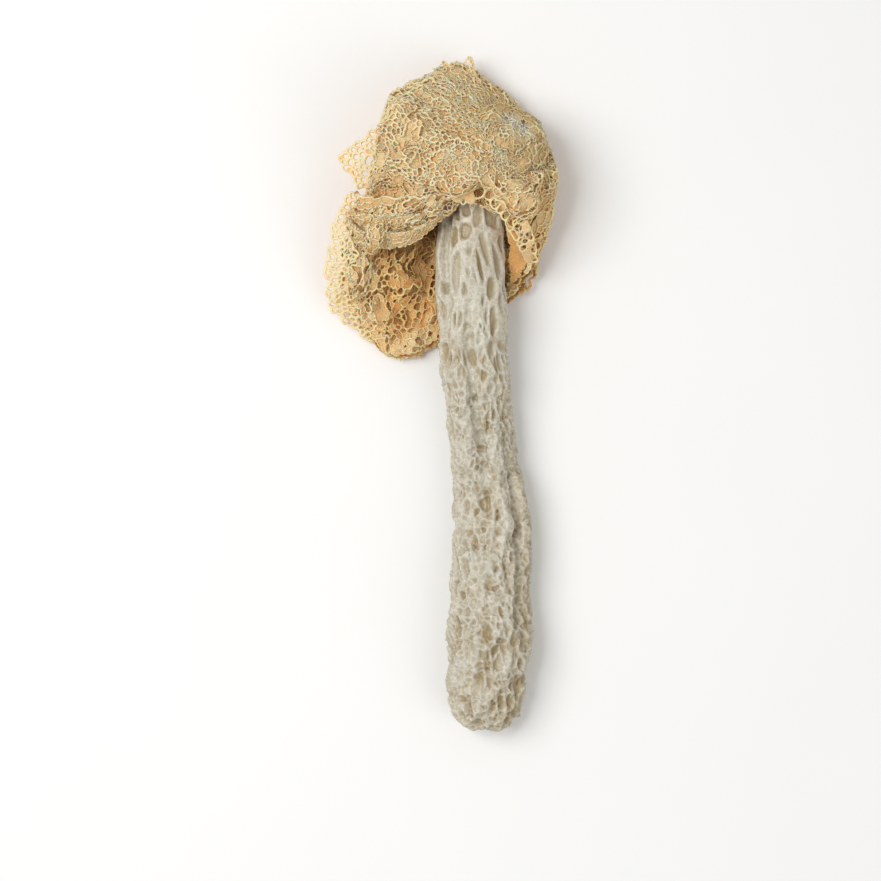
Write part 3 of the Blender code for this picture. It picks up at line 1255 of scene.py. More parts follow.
    def wall(self, u: np.ndarray, v: np.ndarray) -> np.ndarray:
        """Points of the stem before its pits are sunk.

        Args:
            u: Turns round it.
            v: Shares along it, from the foot.

        Returns:
            The points.
        """
        bend = np.minimum(v / self.foot_share, 1.0) * math.pi / 2
        share = np.maximum(v - self.foot_share, 0.0) / (1 - self.foot_share)
        middles, sizes, across, upward, ahead = self.cross_sections(share)
        swell = self.pucker_size + (1 - self.pucker_size) * np.sin(bend)
        swell *= 1 - self.fallen_in(u, share)
        back = self.foot_depth * np.cos(bend)
        back -= self.pucker_depth * np.exp(-((bend / self.pucker_reach) ** 2))
        angle = TURN * u
        points = middles - ahead * back[:, None]
        points += across * (sizes[:, 0] * swell * np.cos(angle))[:, None]
        points += upward * (sizes[:, 1] * swell * np.sin(angle))[:, None]
        points[:, 2] = np.maximum(points[:, 2], 0.0)
        return points

    def stretch(self, v: np.ndarray) -> np.ndarray:
        """How much longer than wide the pits are."""
        grown = smooth_step(self.rib_from, self.rib_to, v)
        return (self.pit_shape + self.rib_stretch * grown) * (1 + self.rib_growth * grown)

    def gauge(self, u: np.ndarray, v: np.ndarray) -> np.ndarray:
        """The wall's points, drawn together lengthwise where the pits are long.

        Args:
            u: Turns round the stem.
            v: Shares along it, from the foot.

        Returns:
            The points, as they are measured for pits.
        """
        points = self.wall(u, v)
        growth = 1 + self.rib_growth * smooth_step(self.rib_from, self.rib_to, v)
        points[:, 0] /= growth
        points[:, 2] /= growth
        steps = np.linspace(0.0, 1.0, self.gauge_steps)
        each = self.length / (self.gauge_steps - 1)
        length = np.concatenate([[0.0], np.cumsum(each / self.stretch(steps[1:]))])
        points[:, 1] = np.interp(v, steps, length)
        return points

    def pits(self, gauge: np.ndarray, v: np.ndarray) -> tuple[np.ndarray, np.ndarray, np.ndarray]:
        """The nearest pit to each point.

        Args:
            gauge: The points as they are measured for pits.
            v: Their shares along the stem.

        Returns:
            How far inside its pit each point is, and two random numbers of that pit.
        """
        grid = self.gauge(*share_grid(self.pit_rows, self.pit_columns))
        grid = grid.reshape(self.pit_rows, self.pit_columns, 3)
        sheet = Sheet(with_measures(grid, 0.0), True)
        weave = Weave(
            self.pit_spacing, 0.0, self.seed, variety=self.pit_variety, patch=self.pit_patch
        )
        seeds = sheet.at(spread_places(sheet, weave))[:, :3]
        tree = kdtree.KDTree(len(seeds))
        for i, spot in enumerate(seeds.tolist()):
            tree.insert(spot, i)
        tree.balance()
        warped = gauge + cloud(gauge, self.warp_size, self.warp_shift) * self.warp
        inside = np.empty(len(gauge))
        which = np.empty(len(gauge), int)
        for n, spot in enumerate(warped.tolist()):
            (_, first, near), (_, _, far) = tree.find_n(spot, 2)
            inside[n] = far - near
            which[n] = first
        chance = np.random.default_rng(self.seed).random((len(seeds), 2))
        return inside, chance[which, 0], chance[which, 1]

    def grooved(self, u: np.ndarray, v: np.ndarray, wall: np.ndarray) -> np.ndarray:
        """How deep the narrow groove at the bottom of each crease is.

        Args:
            u: Turns round the stem.
            v: Shares along it.
            wall: The wall's points.

        Returns:
            The groove's depth at each point.
        """
        share = np.maximum(v - self.foot_share, 0.0) / (1 - self.foot_share)
        size, shift, reach = self.groove_wander
        wander = cloud(wall, size, shift)[:, 1] * reach
        deep = np.zeros_like(u)
        for at, start, end, depth in self.creases:
            away = (u - at + wander + 0.5) % 1.0 - 0.5
            inside = np.clip((share - start) / (end - start), 0.0, 1.0)
            narrow = np.exp(-((away / self.groove_width) ** 2))
            deep += self.groove * narrow * np.sqrt(np.sin(math.pi * inside))
        return deep

    def pit_depths(self, inside: np.ndarray, chance: np.ndarray, ribbed: np.ndarray) -> np.ndarray:
        """How far each point is down its pit, and how deep that pit is.

        Args:
            inside: How far inside its pit each point is.
            chance: A random number of that pit.
            ribbed: How far the stem is ribbed there, 0 to 1.

        Returns:
            The two, one row each.
        """
        low, ribs = smooth_step(*self.pit_walls, inside), smooth_step(*self.rib_walls, inside)
        pit = low * (1 - ribbed) + ribs * ribbed
        shallow = self.pit_depth[0] + (self.pit_depth[1] - self.pit_depth[0]) * chance
        long = self.rib_pit_depth[0] + (self.rib_pit_depth[1] - self.rib_pit_depth[0]) * chance
        return np.stack([pit, shallow * (1 - ribbed) + long * ribbed])

    def stained_and_shaded(self, u: np.ndarray, v: np.ndarray) -> np.ndarray:
        """How yellow the stem is along one side and at the foot, with painted shade at the top under
        the net.

        Args:
            u: Turns round the stem.
            v: Shares along it, from the foot.

        Returns:
            The yellowing and painted shade at each point, 0 to 1.
        """
        side = smooth_step(*self.side_reach, np.cos(TURN * (u - self.side_turn)))
        foot = smooth_step(*self.foot_end, v)
        at_side, at_foot, at_net = self.stains_and_shade
        stain = at_side * side * smooth_step(*self.side_end, v) + at_foot * foot
        return np.clip(stain + at_net * smooth_step(*self.net_shade_start, v), 0, 1)

    def build(self) -> bpy.types.Object:
        """Makes the dressed stem.

        Returns:
            The piece.
        """
        u, v = share_grid(self.rows, self.columns)
        wall = self.wall(u, v)
        grid = wall.reshape(self.rows, self.columns, 3)
        outward = -outward_of(grid, True).reshape(-1, 3)
        inside, chance, kind = self.pits(self.gauge(u, v), v)
        ribbed = smooth_step(self.rib_from, self.rib_to, v)
        pit, depth = self.pit_depths(inside, chance, ribbed)
        squeezed = wall * np.array(self.drawn_out)
        folds, fines, wrinkles = self.folds, self.fines, self.wrinkles
        fold, fine, wrinkle = (each.crests(squeezed) for each in (folds, fines, wrinkles))
        higher = wrinkles.height * (1.0 + self.foot_wrinkled * smooth_step(*self.foot_wrinkles, v))
        moved = folds.height * fold * folds.left(ribbed) + higher * wrinkle * wrinkles.left(ribbed)
        moved += (
            fines.height * fine * fines.left(ribbed) - depth * pit - self.inset
            - self.grooved(u, v, wall)
        )
        moved = np.maximum(moved, -self.deepest)
        resting = smooth_step(0.0, self.rest_height, wall[:, 2])
        moved = np.where(wall[:, 2] < self.rest_height, np.minimum(moved, 0.0) * resting, moved)
        points = wall + outward * moved[:, None]
        points[:, 2] = np.maximum(points[:, 2], 0.0)
        # Painted shade in the pits and towards the foot, and painted light on the crests
        least, deeper, plain, own = self.pit_tone_and_shade
        sunk = pit * np.clip(least + deeper * depth, 0, 1) * (plain + own * kind)
        sunk -= self.fold_light[0] * (fold - self.fold_light[1])
        crest = self.fine_light[0] * (fine - self.fine_light[1])
        crest += self.wrinkle_light[0] * (wrinkle - self.wrinkle_light[1])
        sunk -= crest * (1 - ribbed)
        sunk += self.foot_shade * smooth_step(*self.foot_shade_span, v)
        measures = {Measure.SUNK: np.clip(sunk, 0, 1), Measure.STAIN_AND_SHADE: self.stained_and_shaded(u, v)}
        piece = tube_object("stem_sponge", points.reshape(grid.shape), measures)
        piece.data.materials.append(SpongeFinish().material())
        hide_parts("stem")
        return piece


@dataclass
class Cap:
    """The small disc-topped head at the stem's tip, with its pore."""

    rim: Point = (5.0, 126.0, 15.6)
    axis: Point = (0.42, 0.72, 0.55)
    profile: tuple[tuple[float, float], ...] = (
        (0.5, 6.5),
        (1.6, 6.8),
        (3.9, 7.6),
        (6.0, 6.4),
        (7.1, 3.4),
        (7.5, 0.5),
        (7.0, -0.2),
        (6.4, 1.2),
        (5.8, 3.8),
        (3.2, 4.3),
    )
    rows: int = 130
    columns: int = 120
    fur: float = 0.22
    fur_size: float = 1.1
    fur_shift: float = 2.0
    dent: float = 0.35
    dent_size: float = 3.0
    dent_shift: float = 9.0
    tan: float = 0.25
    pore: Span = (2.4, 0.9)
    # Painted shade: how much darker the pore is
    pore_shade: float = 0.1
    # The share of the profile, from its start, in which the pore lies, and a radius outside it
    pore_share: float = 0.3
    far_out: float = 9.0

    def about(self, turn: np.ndarray, radius: np.ndarray, height: np.ndarray) -> np.ndarray:
        """Points at turns round the cap's axis.

        Args:
            turn: Turns round the axis.
            radius: Distance from the axis.
            height: Height above the rim.

        Returns:
            The points.
        """
        axis = unit(np.array(self.axis))
        across = unit(X_AXIS - axis * axis[0])
        upward = np.cross(across, axis)
        angle = (TURN * np.asarray(turn))[..., None]
        outward = across * np.cos(angle) + upward * np.sin(angle)
        reach = np.asarray(radius)[..., None]
        return np.array(self.rim) + outward * reach + axis * np.asarray(height)[..., None]

    def build(self) -> bpy.types.Object:
        """Makes the dressed cap.

        Returns:
            The piece.
        """
        u, v = share_grid(self.rows, self.columns)
        spots = along_line(np.array(self.profile), v)
        smooth = self.about(u, spots[:, 0], spots[:, 1])
        grid = smooth.reshape(self.rows, self.columns, 3)
        outward = outward_of(grid, True).reshape(-1, 3)
        fur = cloud(smooth, self.fur_size, self.fur_shift)[:, 0] * self.fur
        dent = cloud(smooth, self.dent_size, self.dent_shift)[:, 0] * self.dent
        points = smooth + outward * (fur + dent - self.fur)[:, None]
        pore = smooth_step(*self.pore, np.where(v < self.pore_share, spots[:, 0], self.far_out))
        # Painted shade: darker in the low spots of the fur and dents, and in the pore
        sunk = np.clip(self.tan - fur - dent + self.pore_shade * pore, 0, 1)
        piece = tube_object("cap_felt", points.reshape(grid.shape), {Measure.SUNK: sunk})
        piece.data.materials.append(FeltFinish().material())
        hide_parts("cap")
        return piece


@dataclass(frozen=True)
class Layer:
    """One layer of the skirt's lace, seen from outside (1), from inside (0) or between."""

    name: str
    weave: Weave
    sink: float
    depth: float
    shift: float
    seen: float
    hemmed: bool = False


@dataclass(frozen=True)
class Fold:
    """A ridge across the front of the net, along a line as seen from above."""

    line: tuple[tuple[float, float], ...]
    height: float = 1.8
    width: float = 1.3

    def lift(self, points: np.ndarray) -> np.ndarray:
        """How far the fold lifts the net.

        Args:
            points: The net's points.

        Returns:
            The lift at each point.
        """
        nearest = np.full(points.shape[:-1], np.inf)
        spots = points[..., :2]
        for start, end in zip(self.line, self.line[1:]):
            start, along = np.array(start), np.array(end) - np.array(start)
            share = np.clip(((spots - start) @ along) / (along @ along), 0.0, 1.0)
            nearest = np.minimum(
                nearest, np.linalg.norm(spots - start - share[..., None] * along, axis=-1)
            )
        return self.height * np.exp(-((nearest / self.width) ** 2))


@dataclass(frozen=True)
class Lip:
    """A thin edge of lace that stands out from the skirt, between an inner and an outer line."""

    name: str
    inner: tuple[Point, ...]
    outer: tuple[Point, ...]
    weave: Weave
    # The depth of the lip's lace, which sets its painted shade
    depth: float = 0.1
    crumple_size: float = 3.5
    crumple: float = 1.2
    waves: float = 0.0
    wave_height: float = 0.0
    wave_start: float = 1.0
    wave_lean: Point = (0.0, 0.35, 1.0)
    # The finer crumples: their share of the size and of the height
    finer: Span = (0.4, 0.45)
    shifts: Span = (4.0, 8.0)
    lowest: float = 0.6
    rows: int = 30
    columns: int = 140

    def sheet(self) -> Sheet:
        """Shapes the lip.

        Returns:
            The lip's form.
        """
        along = np.linspace(0.0, 1.0, self.columns)
        inner, outer = (along_line(np.array(line), along) for line in (self.inner, self.outer))
        across = np.linspace(0.0, 1.0, self.rows)[:, None, None]
        grid = inner[None] * (1 - across) + outer[None] * across
        waves = np.sin(TURN * self.waves * across + self.wave_start) * self.wave_height
        grid = grid + waves * np.array(self.wave_lean)
        grid += cloud(grid, self.crumple_size, self.shifts[0]) * self.crumple
        size = self.finer[0] * self.crumple_size
        grid += cloud(grid, size, self.shifts[1]) * self.finer[1] * self.crumple
        grid[..., 2] = np.maximum(grid[..., 2], self.lowest)
        return Sheet(with_measures(grid, self.depth), False)


@dataclass
class LaceSkirt:
    """The net that starts under the cap and falls round the upper stem, in crumpled layers."""

    stem: Stem
    cap: Cap
    collar: tuple[Point, ...] = ((-4.2, 7.1, 0.0), (-0.4, 9.0, 0.8), (2.6, 9.9, 2.2))
    collar_turns: tuple[float, ...] = (0.01, 0.13, 0.26, 0.37, 0.45, 0.53, 0.60, 0.67, 0.75, 0.87)
    cage: tuple[tuple[Point, ...], ...] = (
        (
            (16.6, 122.5, 14.5), (12.5, 117.0, 23.5), (-1.5, 117.0, 28.0), (-14.0, 127.0, 28.5),
            (-23.5, 134.0, 24.0), (-23.5, 141.5, 15.5), (-17.0, 148.0, 9.0), (-8.5, 149.0, 5.0),
            (0.5, 142.5, 4.0), (12.0, 131.5, 6.0),
        ),
        (
            (16.4, 111.0, 12.0), (11.0, 110.5, 22.0), (-3.5, 113.5, 27.0), (-18.0, 117.0, 27.5),
            (-31.0, 120.0, 23.5), (-35.0, 113.5, 13.0), (-33.5, 98.0, 5.5), (-23.5, 90.0, 2.0),
            (-9.0, 95.0, 1.4), (9.0, 103.0, 2.2),
        ),
        (
            (12.5, 97.0, 8.0), (7.0, 104.5, 18.5), (-4.0, 110.0, 22.5), (-18.0, 107.0, 21.5),
            (-32.5, 102.0, 17.5), (-42.5, 97.0, 10.0), (-38.0, 81.0, 3.2), (-24.0, 72.5, 1.2),
            (-9.0, 79.0, 1.2), (7.5, 89.0, 1.4),
        ),
    )
    rows: int = 260
    columns: int = 460
    pleats: int = 9
    pleat_height: float = 1.0
    fold_size: float = 13.0
    fold_height: float = 1.6
    crumple_size: float = 6.0
    crumple_height: float = 2.8
    fine_size: float = 3.0
    fine_height: float = 1.5
    pleat_wander: float = 0.35
    # Ridges: the share that stands up, how sharp they are, and where the front folds start
    ridge_up: float = 0.5
    ridge_sharp: float = 2.0
    front: Span = (0.15, 0.5)
    behind: Span = (0.1, -0.4)
    rim: Span = (0.05, 0.6)
    # The shifts of the ridges', crumples' and fine crumples' patterns
    shifts: tuple[float, float, float] = (1.0, 5.0, 9.0)
    slide: float = 0.4
    rim_calm: float = 0.2
    loose_height: float = 0.25
    heaped: float = 1.1
    loose_from: float = 0.42
    loose_to: float = 0.66
    stem_gap: float = 1.0
    lowest: float = 0.5
    highest: float = 29.0
    drawn_in: float = 4.0
    left_edge: Span = (-24.0, -38.0)
    topped: float = 2.5
    top_edge: Span = (138.0, 148.0)
    bolder: float = 0.8
    # Painted shade: the depth on the underside, how a layer's own depth lessens it, and the hollows'
    # share
    shade_behind: Span = (0.75, 0.85)
    hollow_shade: float = 0.12
    hollow_from: float = 0.3
    # Under bold strands: what deeper layers gain in depth as painted shade, and keep of the boldness
    under_bold: Span = (0.5, 0.3)
    scallops: int = 25
    scalloped: float = 0.2
    hem_rows: int = 26
    hem_turn: float = 4.2
    hem_waves: float = 3.0
    # Rows over which the direction at the hem is taken, and steps along the stem
    hem_back: int = 8
    stem_steps: int = 200
    # The rolled hem: turns round the skirt, and the roll's radius there
    hem_roll: tuple[tuple[float, float], ...] = (
        (0.0, 1.0), (0.10, 1.3), (0.20, 1.3), (0.28, 2.4), (0.36, 3.4), (0.43, 2.6), (0.50, 1.0),
        (0.60, 0.7), (1.0, 0.9),
    )
    folds: tuple[Fold, ...] = (
        Fold((
            (-18.5, 143.5), (-14.0, 138.8), (-8.2, 134.3), (-2.4, 128.5), (3.6, 127.0), (9.3, 124.0),
        )),
        Fold(((-28.4, 124.5), (-22.4, 119.3), (-16.7, 118.0), (-10.7, 121.4))),
        Fold(((-29.7, 119.3), (-23.2, 121.4), (-17.2, 125.8), (-13.3, 128.0)), 1.4, 1.2),
        Fold(((-17.2, 118.0), (-10.7, 114.0), (-5.5, 116.7), (1.0, 114.0), (6.7, 110.2)), 1.5, 1.2),
        Fold(((-26.0, 136.0), (-20.0, 131.0), (-14.0, 131.5)), 1.2, 1.1),
        Fold(((-12.0, 131.0), (-6.0, 124.0), (-7.5, 118.5)), 1.2, 1.1),
        Fold(((2.0, 122.0), (5.0, 116.5), (11.5, 113.0)), 1.2, 1.0),
    )
    # Where the openings are wide and the strands bold: middle, reach, strength
    bold_spots: tuple[tuple[float, float, float, float, float], ...] = (
        (-13.0, 112.0, 26.0, 4.0, 0.5),
        (-5.0, 112.0, 25.5, 4.5, 0.6),
        (2.0, 110.0, 23.0, 4.5, 0.7),
        (9.5, 107.0, 17.0, 7.5, 1.0),
        (-24.0, 118.0, 27.0, 4.0, 0.4),
    )
    # Painted shade: where the lace is a deeper orange beside the stem and under the hem, or paler
    # where the amount is below 0: middle, reach, amount
    shade_spots: tuple[tuple[float, float, float, float, float], ...] = (
        (-17.0, 95.0, 5.0, 13.0, 1.3),
        (-22.0, 110.0, 5.0, 9.0, 1.1),
        (7.0, 96.0, 3.0, 9.0, 0.8),
        (-8.0, 146.0, 10.0, 12.0, -0.4),
        (-22.0, 138.0, 20.0, 9.0, -0.3),
    )
    # Each layer's depth sets its painted shade: the deeper layers are more orange
    layers: tuple[Layer, ...] = (
        Layer(
            "net_outer",
            Weave(
                0.92, 0.80, 31, variety=0.75, patch=4.0, coarser=0.9, torn=0.16, easing=1, veins=320,
                vein_steps=22, uneven=0.35, filmed=0.6, film_sunk=0.25, thinnest=0.48,
            ),
            0.0, 0.05, 0.0, 1.0, True,
        ),
        Layer(
            "net_middle",
            Weave(
                1.15, 0.70, 41, coarser=0.3, torn=0.08, veins=90, uneven=0.3, filmed=1.0,
                film_sunk=0.05,
            ),
            0.8, 0.45, 20.0, 0.5,
        ),
        Layer(
            "net_inner",
            Weave(
                1.06, 0.80, 51, variety=0.7, patch=5.0, coarser=0.9, torn=0.12, easing=1, veins=200,
                vein_steps=20, uneven=0.4, filmed=0.55, film_sunk=-0.16, thinnest=0.5,
            ),
            1.6, 0.70, 40.0, 0.0,
        ),
    )
    # The fine lace drawn over the cap's edge: distance from the axis, height above the rim
    veil: tuple[tuple[float, float], ...] = (
        (0.15, 7.2), (1.6, 7.7), (3.2, 8.1), (4.8, 8.1), (6.4, 7.6), (8.0, 6.6), (9.6, 5.0),
        (11.0, 3.0), (12.0, 0.6),
    )
    veil_slant: float = 2.2
    veil_leans: Span = (5.0, 10.0)
    veil_rows: int = 60
    veil_columns: int = 200
    # The veil's crumples: size, shift and height
    veil_crumples: tuple[Point, ...] = ((3.0, 6.0, 0.9), (1.4, 2.0, 0.4))
    veil_weave: Weave = Weave(
        0.95, 0.76, 61, variety=0.8, patch=4.0, torn=0.12, easing=1, filmed=1.0, film_sunk=0.2,
        thinnest=0.5, veins=40, vein_steps=10, uneven=0.35,
    )
    # The bleached patch: its middle, and where it begins to fade and has faded
    patch: Point = (5.8, 130.0, 21.5)
    bleached: tuple[float, float] = (2.5, 6.5)
    bleach: Colour = (0.97, 0.92, 0.76)
    veil_inner: Colour = (0.80, 0.66, 0.40)
    veil_dark: Colour = (0.96, 0.68, 0.33)
    lips: tuple[Lip, ...] = (
        Lip(
            "net_flap",
            (
                (-25.0, 130.0, 23.0), (-27.5, 126.5, 22.5), (-29.0, 123.5, 22.0),
                (-29.5, 120.5, 21.5), (-29.0, 117.5, 21.0), (-28.5, 115.0, 20.5),
            ),
            (
                (-31.0, 130.5, 21.0), (-34.5, 128.0, 20.0), (-38.4, 124.7, 19.0),
                (-38.9, 121.5, 18.5), (-36.0, 117.6, 18.0), (-34.0, 115.0, 17.5),
            ),
            Weave(
                1.15, 1.5, 71, variety=0.25, thinnest=0.8, torn=0.0, filmed=0.1, film_sunk=0.0,
                rounded=True,
            ),
        ),
        Lip(
            "net_lobe",
            (
                (-28.0, 113.0, 17.0), (-30.5, 109.5, 16.0), (-32.5, 105.5, 14.5),
                (-33.8, 100.5, 12.5), (-34.8, 95.0, 10.0), (-34.8, 89.5, 7.5),
                (-33.6, 86.0, 5.5), (-31.5, 83.5, 4.0), (-28.5, 81.5, 3.0), (-25.0, 80.0, 2.2),
            ),
            (
                (-33.8, 115.0, 17.0), (-37.5, 112.8, 16.5), (-40.2, 108.3, 15.0),
                (-41.4, 102.4, 12.5), (-42.9, 95.5, 10.0), (-42.9, 88.6, 7.5),
                (-41.2, 84.0, 5.0), (-37.8, 80.6, 3.5), (-33.8, 77.4, 2.2), (-28.1, 74.6, 1.6),
            ),
            Weave(
                1.15, 1.5, 72, variety=0.25, thinnest=0.8, torn=0.0, filmed=0.1, film_sunk=0.0,
                rounded=True,
            ),
        ),
        Lip(
            "net_band",
            (
                (-36.0, 112.0, 18.5), (-31.0, 112.0, 22.0), (-24.0, 112.0, 23.5),
                (-17.0, 112.0, 24.5), (-11.5, 113.0, 25.5),
            ),
            (
                (-38.0, 106.5, 14.0), (-34.0, 101.6, 14.5), (-27.0, 100.4, 15.5),
                (-20.0, 101.8, 17.5), (-12.5, 107.5, 21.5),
            ),
            Weave(0.95, 0.74, 75, torn=0.10, veins=50, filmed=1.0, film_sunk=-0.2, uneven=0.2),
            waves=2.6,
            wave_height=2.0,
            crumple=0.6,
        ),
        Lip(
            "net_hem",
            (
                (-16.5, 112.5, 25.0), (-13.0, 115.0, 25.6), (-9.0, 116.0, 26.0), (-4.0, 116.0, 26.0),
                (0.5, 114.5, 25.4), (5.0, 112.0, 24.0), (9.0, 107.5, 21.0), (12.0, 102.5, 17.0),
                (14.0, 97.5, 12.0),
            ),
            (
                (-17.5, 107.8, 23.6), (-14.6, 109.2, 24.0), (-10.2, 111.2, 24.4), (-5.5, 109.6, 24.2),
                (-2.4, 111.8, 24.2), (0.4, 108.4, 23.4), (4.0, 104.0, 21.0), (6.8, 99.4, 17.0),
                (9.6, 95.4, 12.0),
            ),
            Weave(
                1.45, 1.25, 76, variety=0.5, torn=0.08, thinnest=0.62, filmed=0.25, uneven=0.3,
                rounded=True,
            ),
            depth=0.12,
            crumple=0.7,
            columns=220,
        ),
        # Painted shade: a deep orange sheet of lace that fills the shadow right of the stem, under the
        # hem
        Lip(
            "net_shade_lining",
            ((4.5, 110.5, 18.5), (6.5, 107.0, 17.0), (8.8, 102.0, 14.5), (10.5, 97.0, 11.0)),
            ((4.4, 106.5, 14.0), (4.5, 100.5, 12.0), (4.8, 95.0, 9.5), (5.2, 89.5, 6.5)),
            Weave(1.1, 0.74, 77, variety=0.5, torn=0.1, filmed=1.0, film_sunk=0.2, uneven=0.2),
            depth=0.95,
            crumple=0.7,
        ),
        Lip(
            "net_tips",
            (
                (-14.5, 141.0, 9.0), (-13.0, 141.5, 9.5), (-11.5, 141.5, 9.5), (-9.5, 141.5, 10.0),
                (-7.5, 141.5, 10.0), (-5.8, 141.0, 10.0), (-4.2, 140.5, 10.0), (-2.0, 139.0, 10.0),
            ),
            (
                (-16.0, 143.5, 8.0), (-13.4, 148.4, 7.5), (-11.0, 149.8, 7.5), (-9.2, 147.8, 8.0),
                (-7.6, 148.2, 8.5), (-5.9, 150.8, 8.0), (-4.3, 149.8, 8.0), (-2.2, 144.0, 9.0),
            ),
            Weave(0.75, 0.75, 73, torn=0.1, filmed=0.7, film_sunk=0.0, uneven=0.3, rounded=True),
            crumple=0.6,
        ),
        Lip(
            "net_thread",
            ((10.2, 99.5, 12.0), (8.7, 94.7, 9.5), (7.0, 90.6, 7.0), (7.0, 85.4, 5.0)),
            ((12.8, 99.0, 12.0), (10.3, 94.2, 9.5), (8.2, 90.4, 7.0), (7.8, 85.2, 5.0)),
            Weave(0.8, 0.8, 74, torn=0.05, filmed=0.9, film_sunk=0.0, rounded=True),
            crumple=0.6,
        ),
    )

    def smooth_form(self) -> np.ndarray:
        """Shapes the skirt before it is crumpled.

        Returns:
            A grid of points, its rows running from the neck to the hem.
        """
        turns = np.linspace(0.0, 1.0, self.columns, endpoint=False)
        rows = []
        for height, radius, slant in self.collar:
            at = np.array(self.collar_turns)
            heights = height - slant * np.cos(TURN * at)
            rows.append(round_loop(self.cap.about(at, np.full(len(at), radius), heights), turns))
        rows += [round_loop(np.array(row), turns) for row in self.cage]
        return along_line(np.array(rows), np.linspace(0.0, 1.0, self.rows))

    def clear_of_stem(self, points: np.ndarray) -> np.ndarray:
        """Moves points out of the stem where they would be in it.

        Args:
            points: The net's points.

        Returns:
            The moved points.
        """
        share = np.linspace(0.0, 1.0, self.stem_steps)
        middles, sizes, _, _, _ = self.stem.cross_sections(share)
        y = points[..., 1]
        middle_x, middle_z = (np.interp(y, middles[:, 1], middles[:, k]) for k in (0, 2))
        wide, high = (np.interp(y, middles[:, 1], sizes[:, k]) + self.stem_gap for k in (0, 1))
        x, z = (points[..., 0] - middle_x) / wide, (points[..., 2] - middle_z) / high
        reach = np.maximum(np.hypot(x, z), TINY)
        out = np.where((reach < 1.0) & (y < middles[-1, 1]), 1.0 / reach, 1.0)
        moved = points.copy()
        moved[..., 0] = middle_x + x * wide * out
        moved[..., 2] = middle_z + z * high * out
        return moved

    def rolled_hem(self, grid: np.ndarray, outward: np.ndarray) -> np.ndarray:
        """The rows that roll the hem in under itself.

        Args:
            grid: The skirt's points down to the hem.
            outward: The outward direction along the hem.

        Returns:
            The added rows.
        """
        turns = np.linspace(0.0, 1.0, self.columns, endpoint=False)
        at, radii = np.array(self.hem_roll).T
        wander = np.sin(TURN * self.hem_waves * turns)
        wave = 1.0 + self.scalloped * np.sin(TURN * (self.scallops * turns + wander))
        radius = (np.interp(turns, at, radii) * wave)[:, None]
        ahead = grid[-1] - grid[-self.hem_back]
        ahead = unit(ahead - outward * (ahead * outward).sum(axis=1, keepdims=True))
        bends = np.linspace(0.0, self.hem_turn, self.hem_rows + 1)[1:, None, None]
        rolled = ahead * np.sin(bends) - outward * (1 - np.cos(bends))
        return grid[-1] + rolled * radius

    def draped(self, hemmed: bool) -> tuple[np.ndarray, np.ndarray, np.ndarray]:
        """The form of a layer before it is crumpled.

        Args:
            hemmed: Whether its hem is rolled in.

        Returns:
            Its points, their outward directions, and how far down the net each row lies.
        """
        smooth = self.smooth_form()
        outward = outward_of(smooth, True)
        v = np.linspace(0.0, 1.0, self.rows)[:, None]
        if hemmed:
            smooth = np.concatenate([smooth, self.rolled_hem(smooth, outward[-1])])
            outward = np.concatenate([outward, np.repeat(outward[-1:], self.hem_rows, axis=0)])
            v = np.concatenate([v, np.ones((self.hem_rows, 1))])
        return smooth, outward, v

    def lifted(self, smooth: np.ndarray, facing: np.ndarray) -> np.ndarray:
        """How far pleats, ridges and folds lift the net.

        Args:
            smooth: The net's points before.
            facing: How far each point faces up.

        Returns:
            The lift at each point.
        """
        u = np.linspace(0.0, 1.0, self.columns, endpoint=False)[None, :]
        wander = self.pleat_wander * np.sin(2 * TURN * u)
        pleat = np.sin(TURN * (self.pleats * u + wander)) * self.pleat_height
        steep = np.abs(cloud(smooth, self.fold_size, self.shifts[0])[..., 0])
        ridge = self.fold_height * (self.ridge_up - self.ridge_sharp * steep)
        front = smooth_step(*self.front, facing)
        for fold in self.folds:
            ridge = ridge + fold.lift(smooth) * front
        return pleat + ridge

    def crumpled(self, smooth: np.ndarray, outward: np.ndarray) -> np.ndarray:
        """How the crumples move the net, more outward than along it.

        Args:
            smooth: The net's points before.
            outward: Their outward directions.

        Returns:
            The move of each point.
        """
        crumple = cloud(smooth, self.crumple_size, self.shifts[1]) * self.crumple_height
        crumple += cloud(smooth, self.fine_size, self.shifts[2]) * self.fine_height
        upright = (crumple * outward).sum(axis=2, keepdims=True) * outward
        return upright + (crumple - upright) * self.slide

    def kept_in(self, points: np.ndarray) -> np.ndarray:
        """Draws the net in at the left and the top, and keeps it off the stem and the table.

        Args:
            points: The net's points.

        Returns:
            The moved points.
        """
        points[..., 0] += self.drawn_in * smooth_step(*self.left_edge, points[..., 0])
        points[..., 1] -= self.topped * smooth_step(*self.top_edge, points[..., 1])
        points = self.clear_of_stem(points)
        points[..., 2] = np.clip(points[..., 2], self.lowest, self.highest)
        return points

    def measured(
        self, layer: Layer, smooth: np.ndarray, behind: np.ndarray, raised: np.ndarray
    ) -> np.ndarray:
        """The depth, which sets the painted shade, the boldness and the room at each point of a layer.

        Args:
            layer: The layer.
            smooth: Its points before it is crumpled.
            behind: How far each faces away from above, 0 to 1.
            raised: What its height takes from its depth, which is painted shade in its hollows.

        Returns:
            Three numbers for each point.
        """
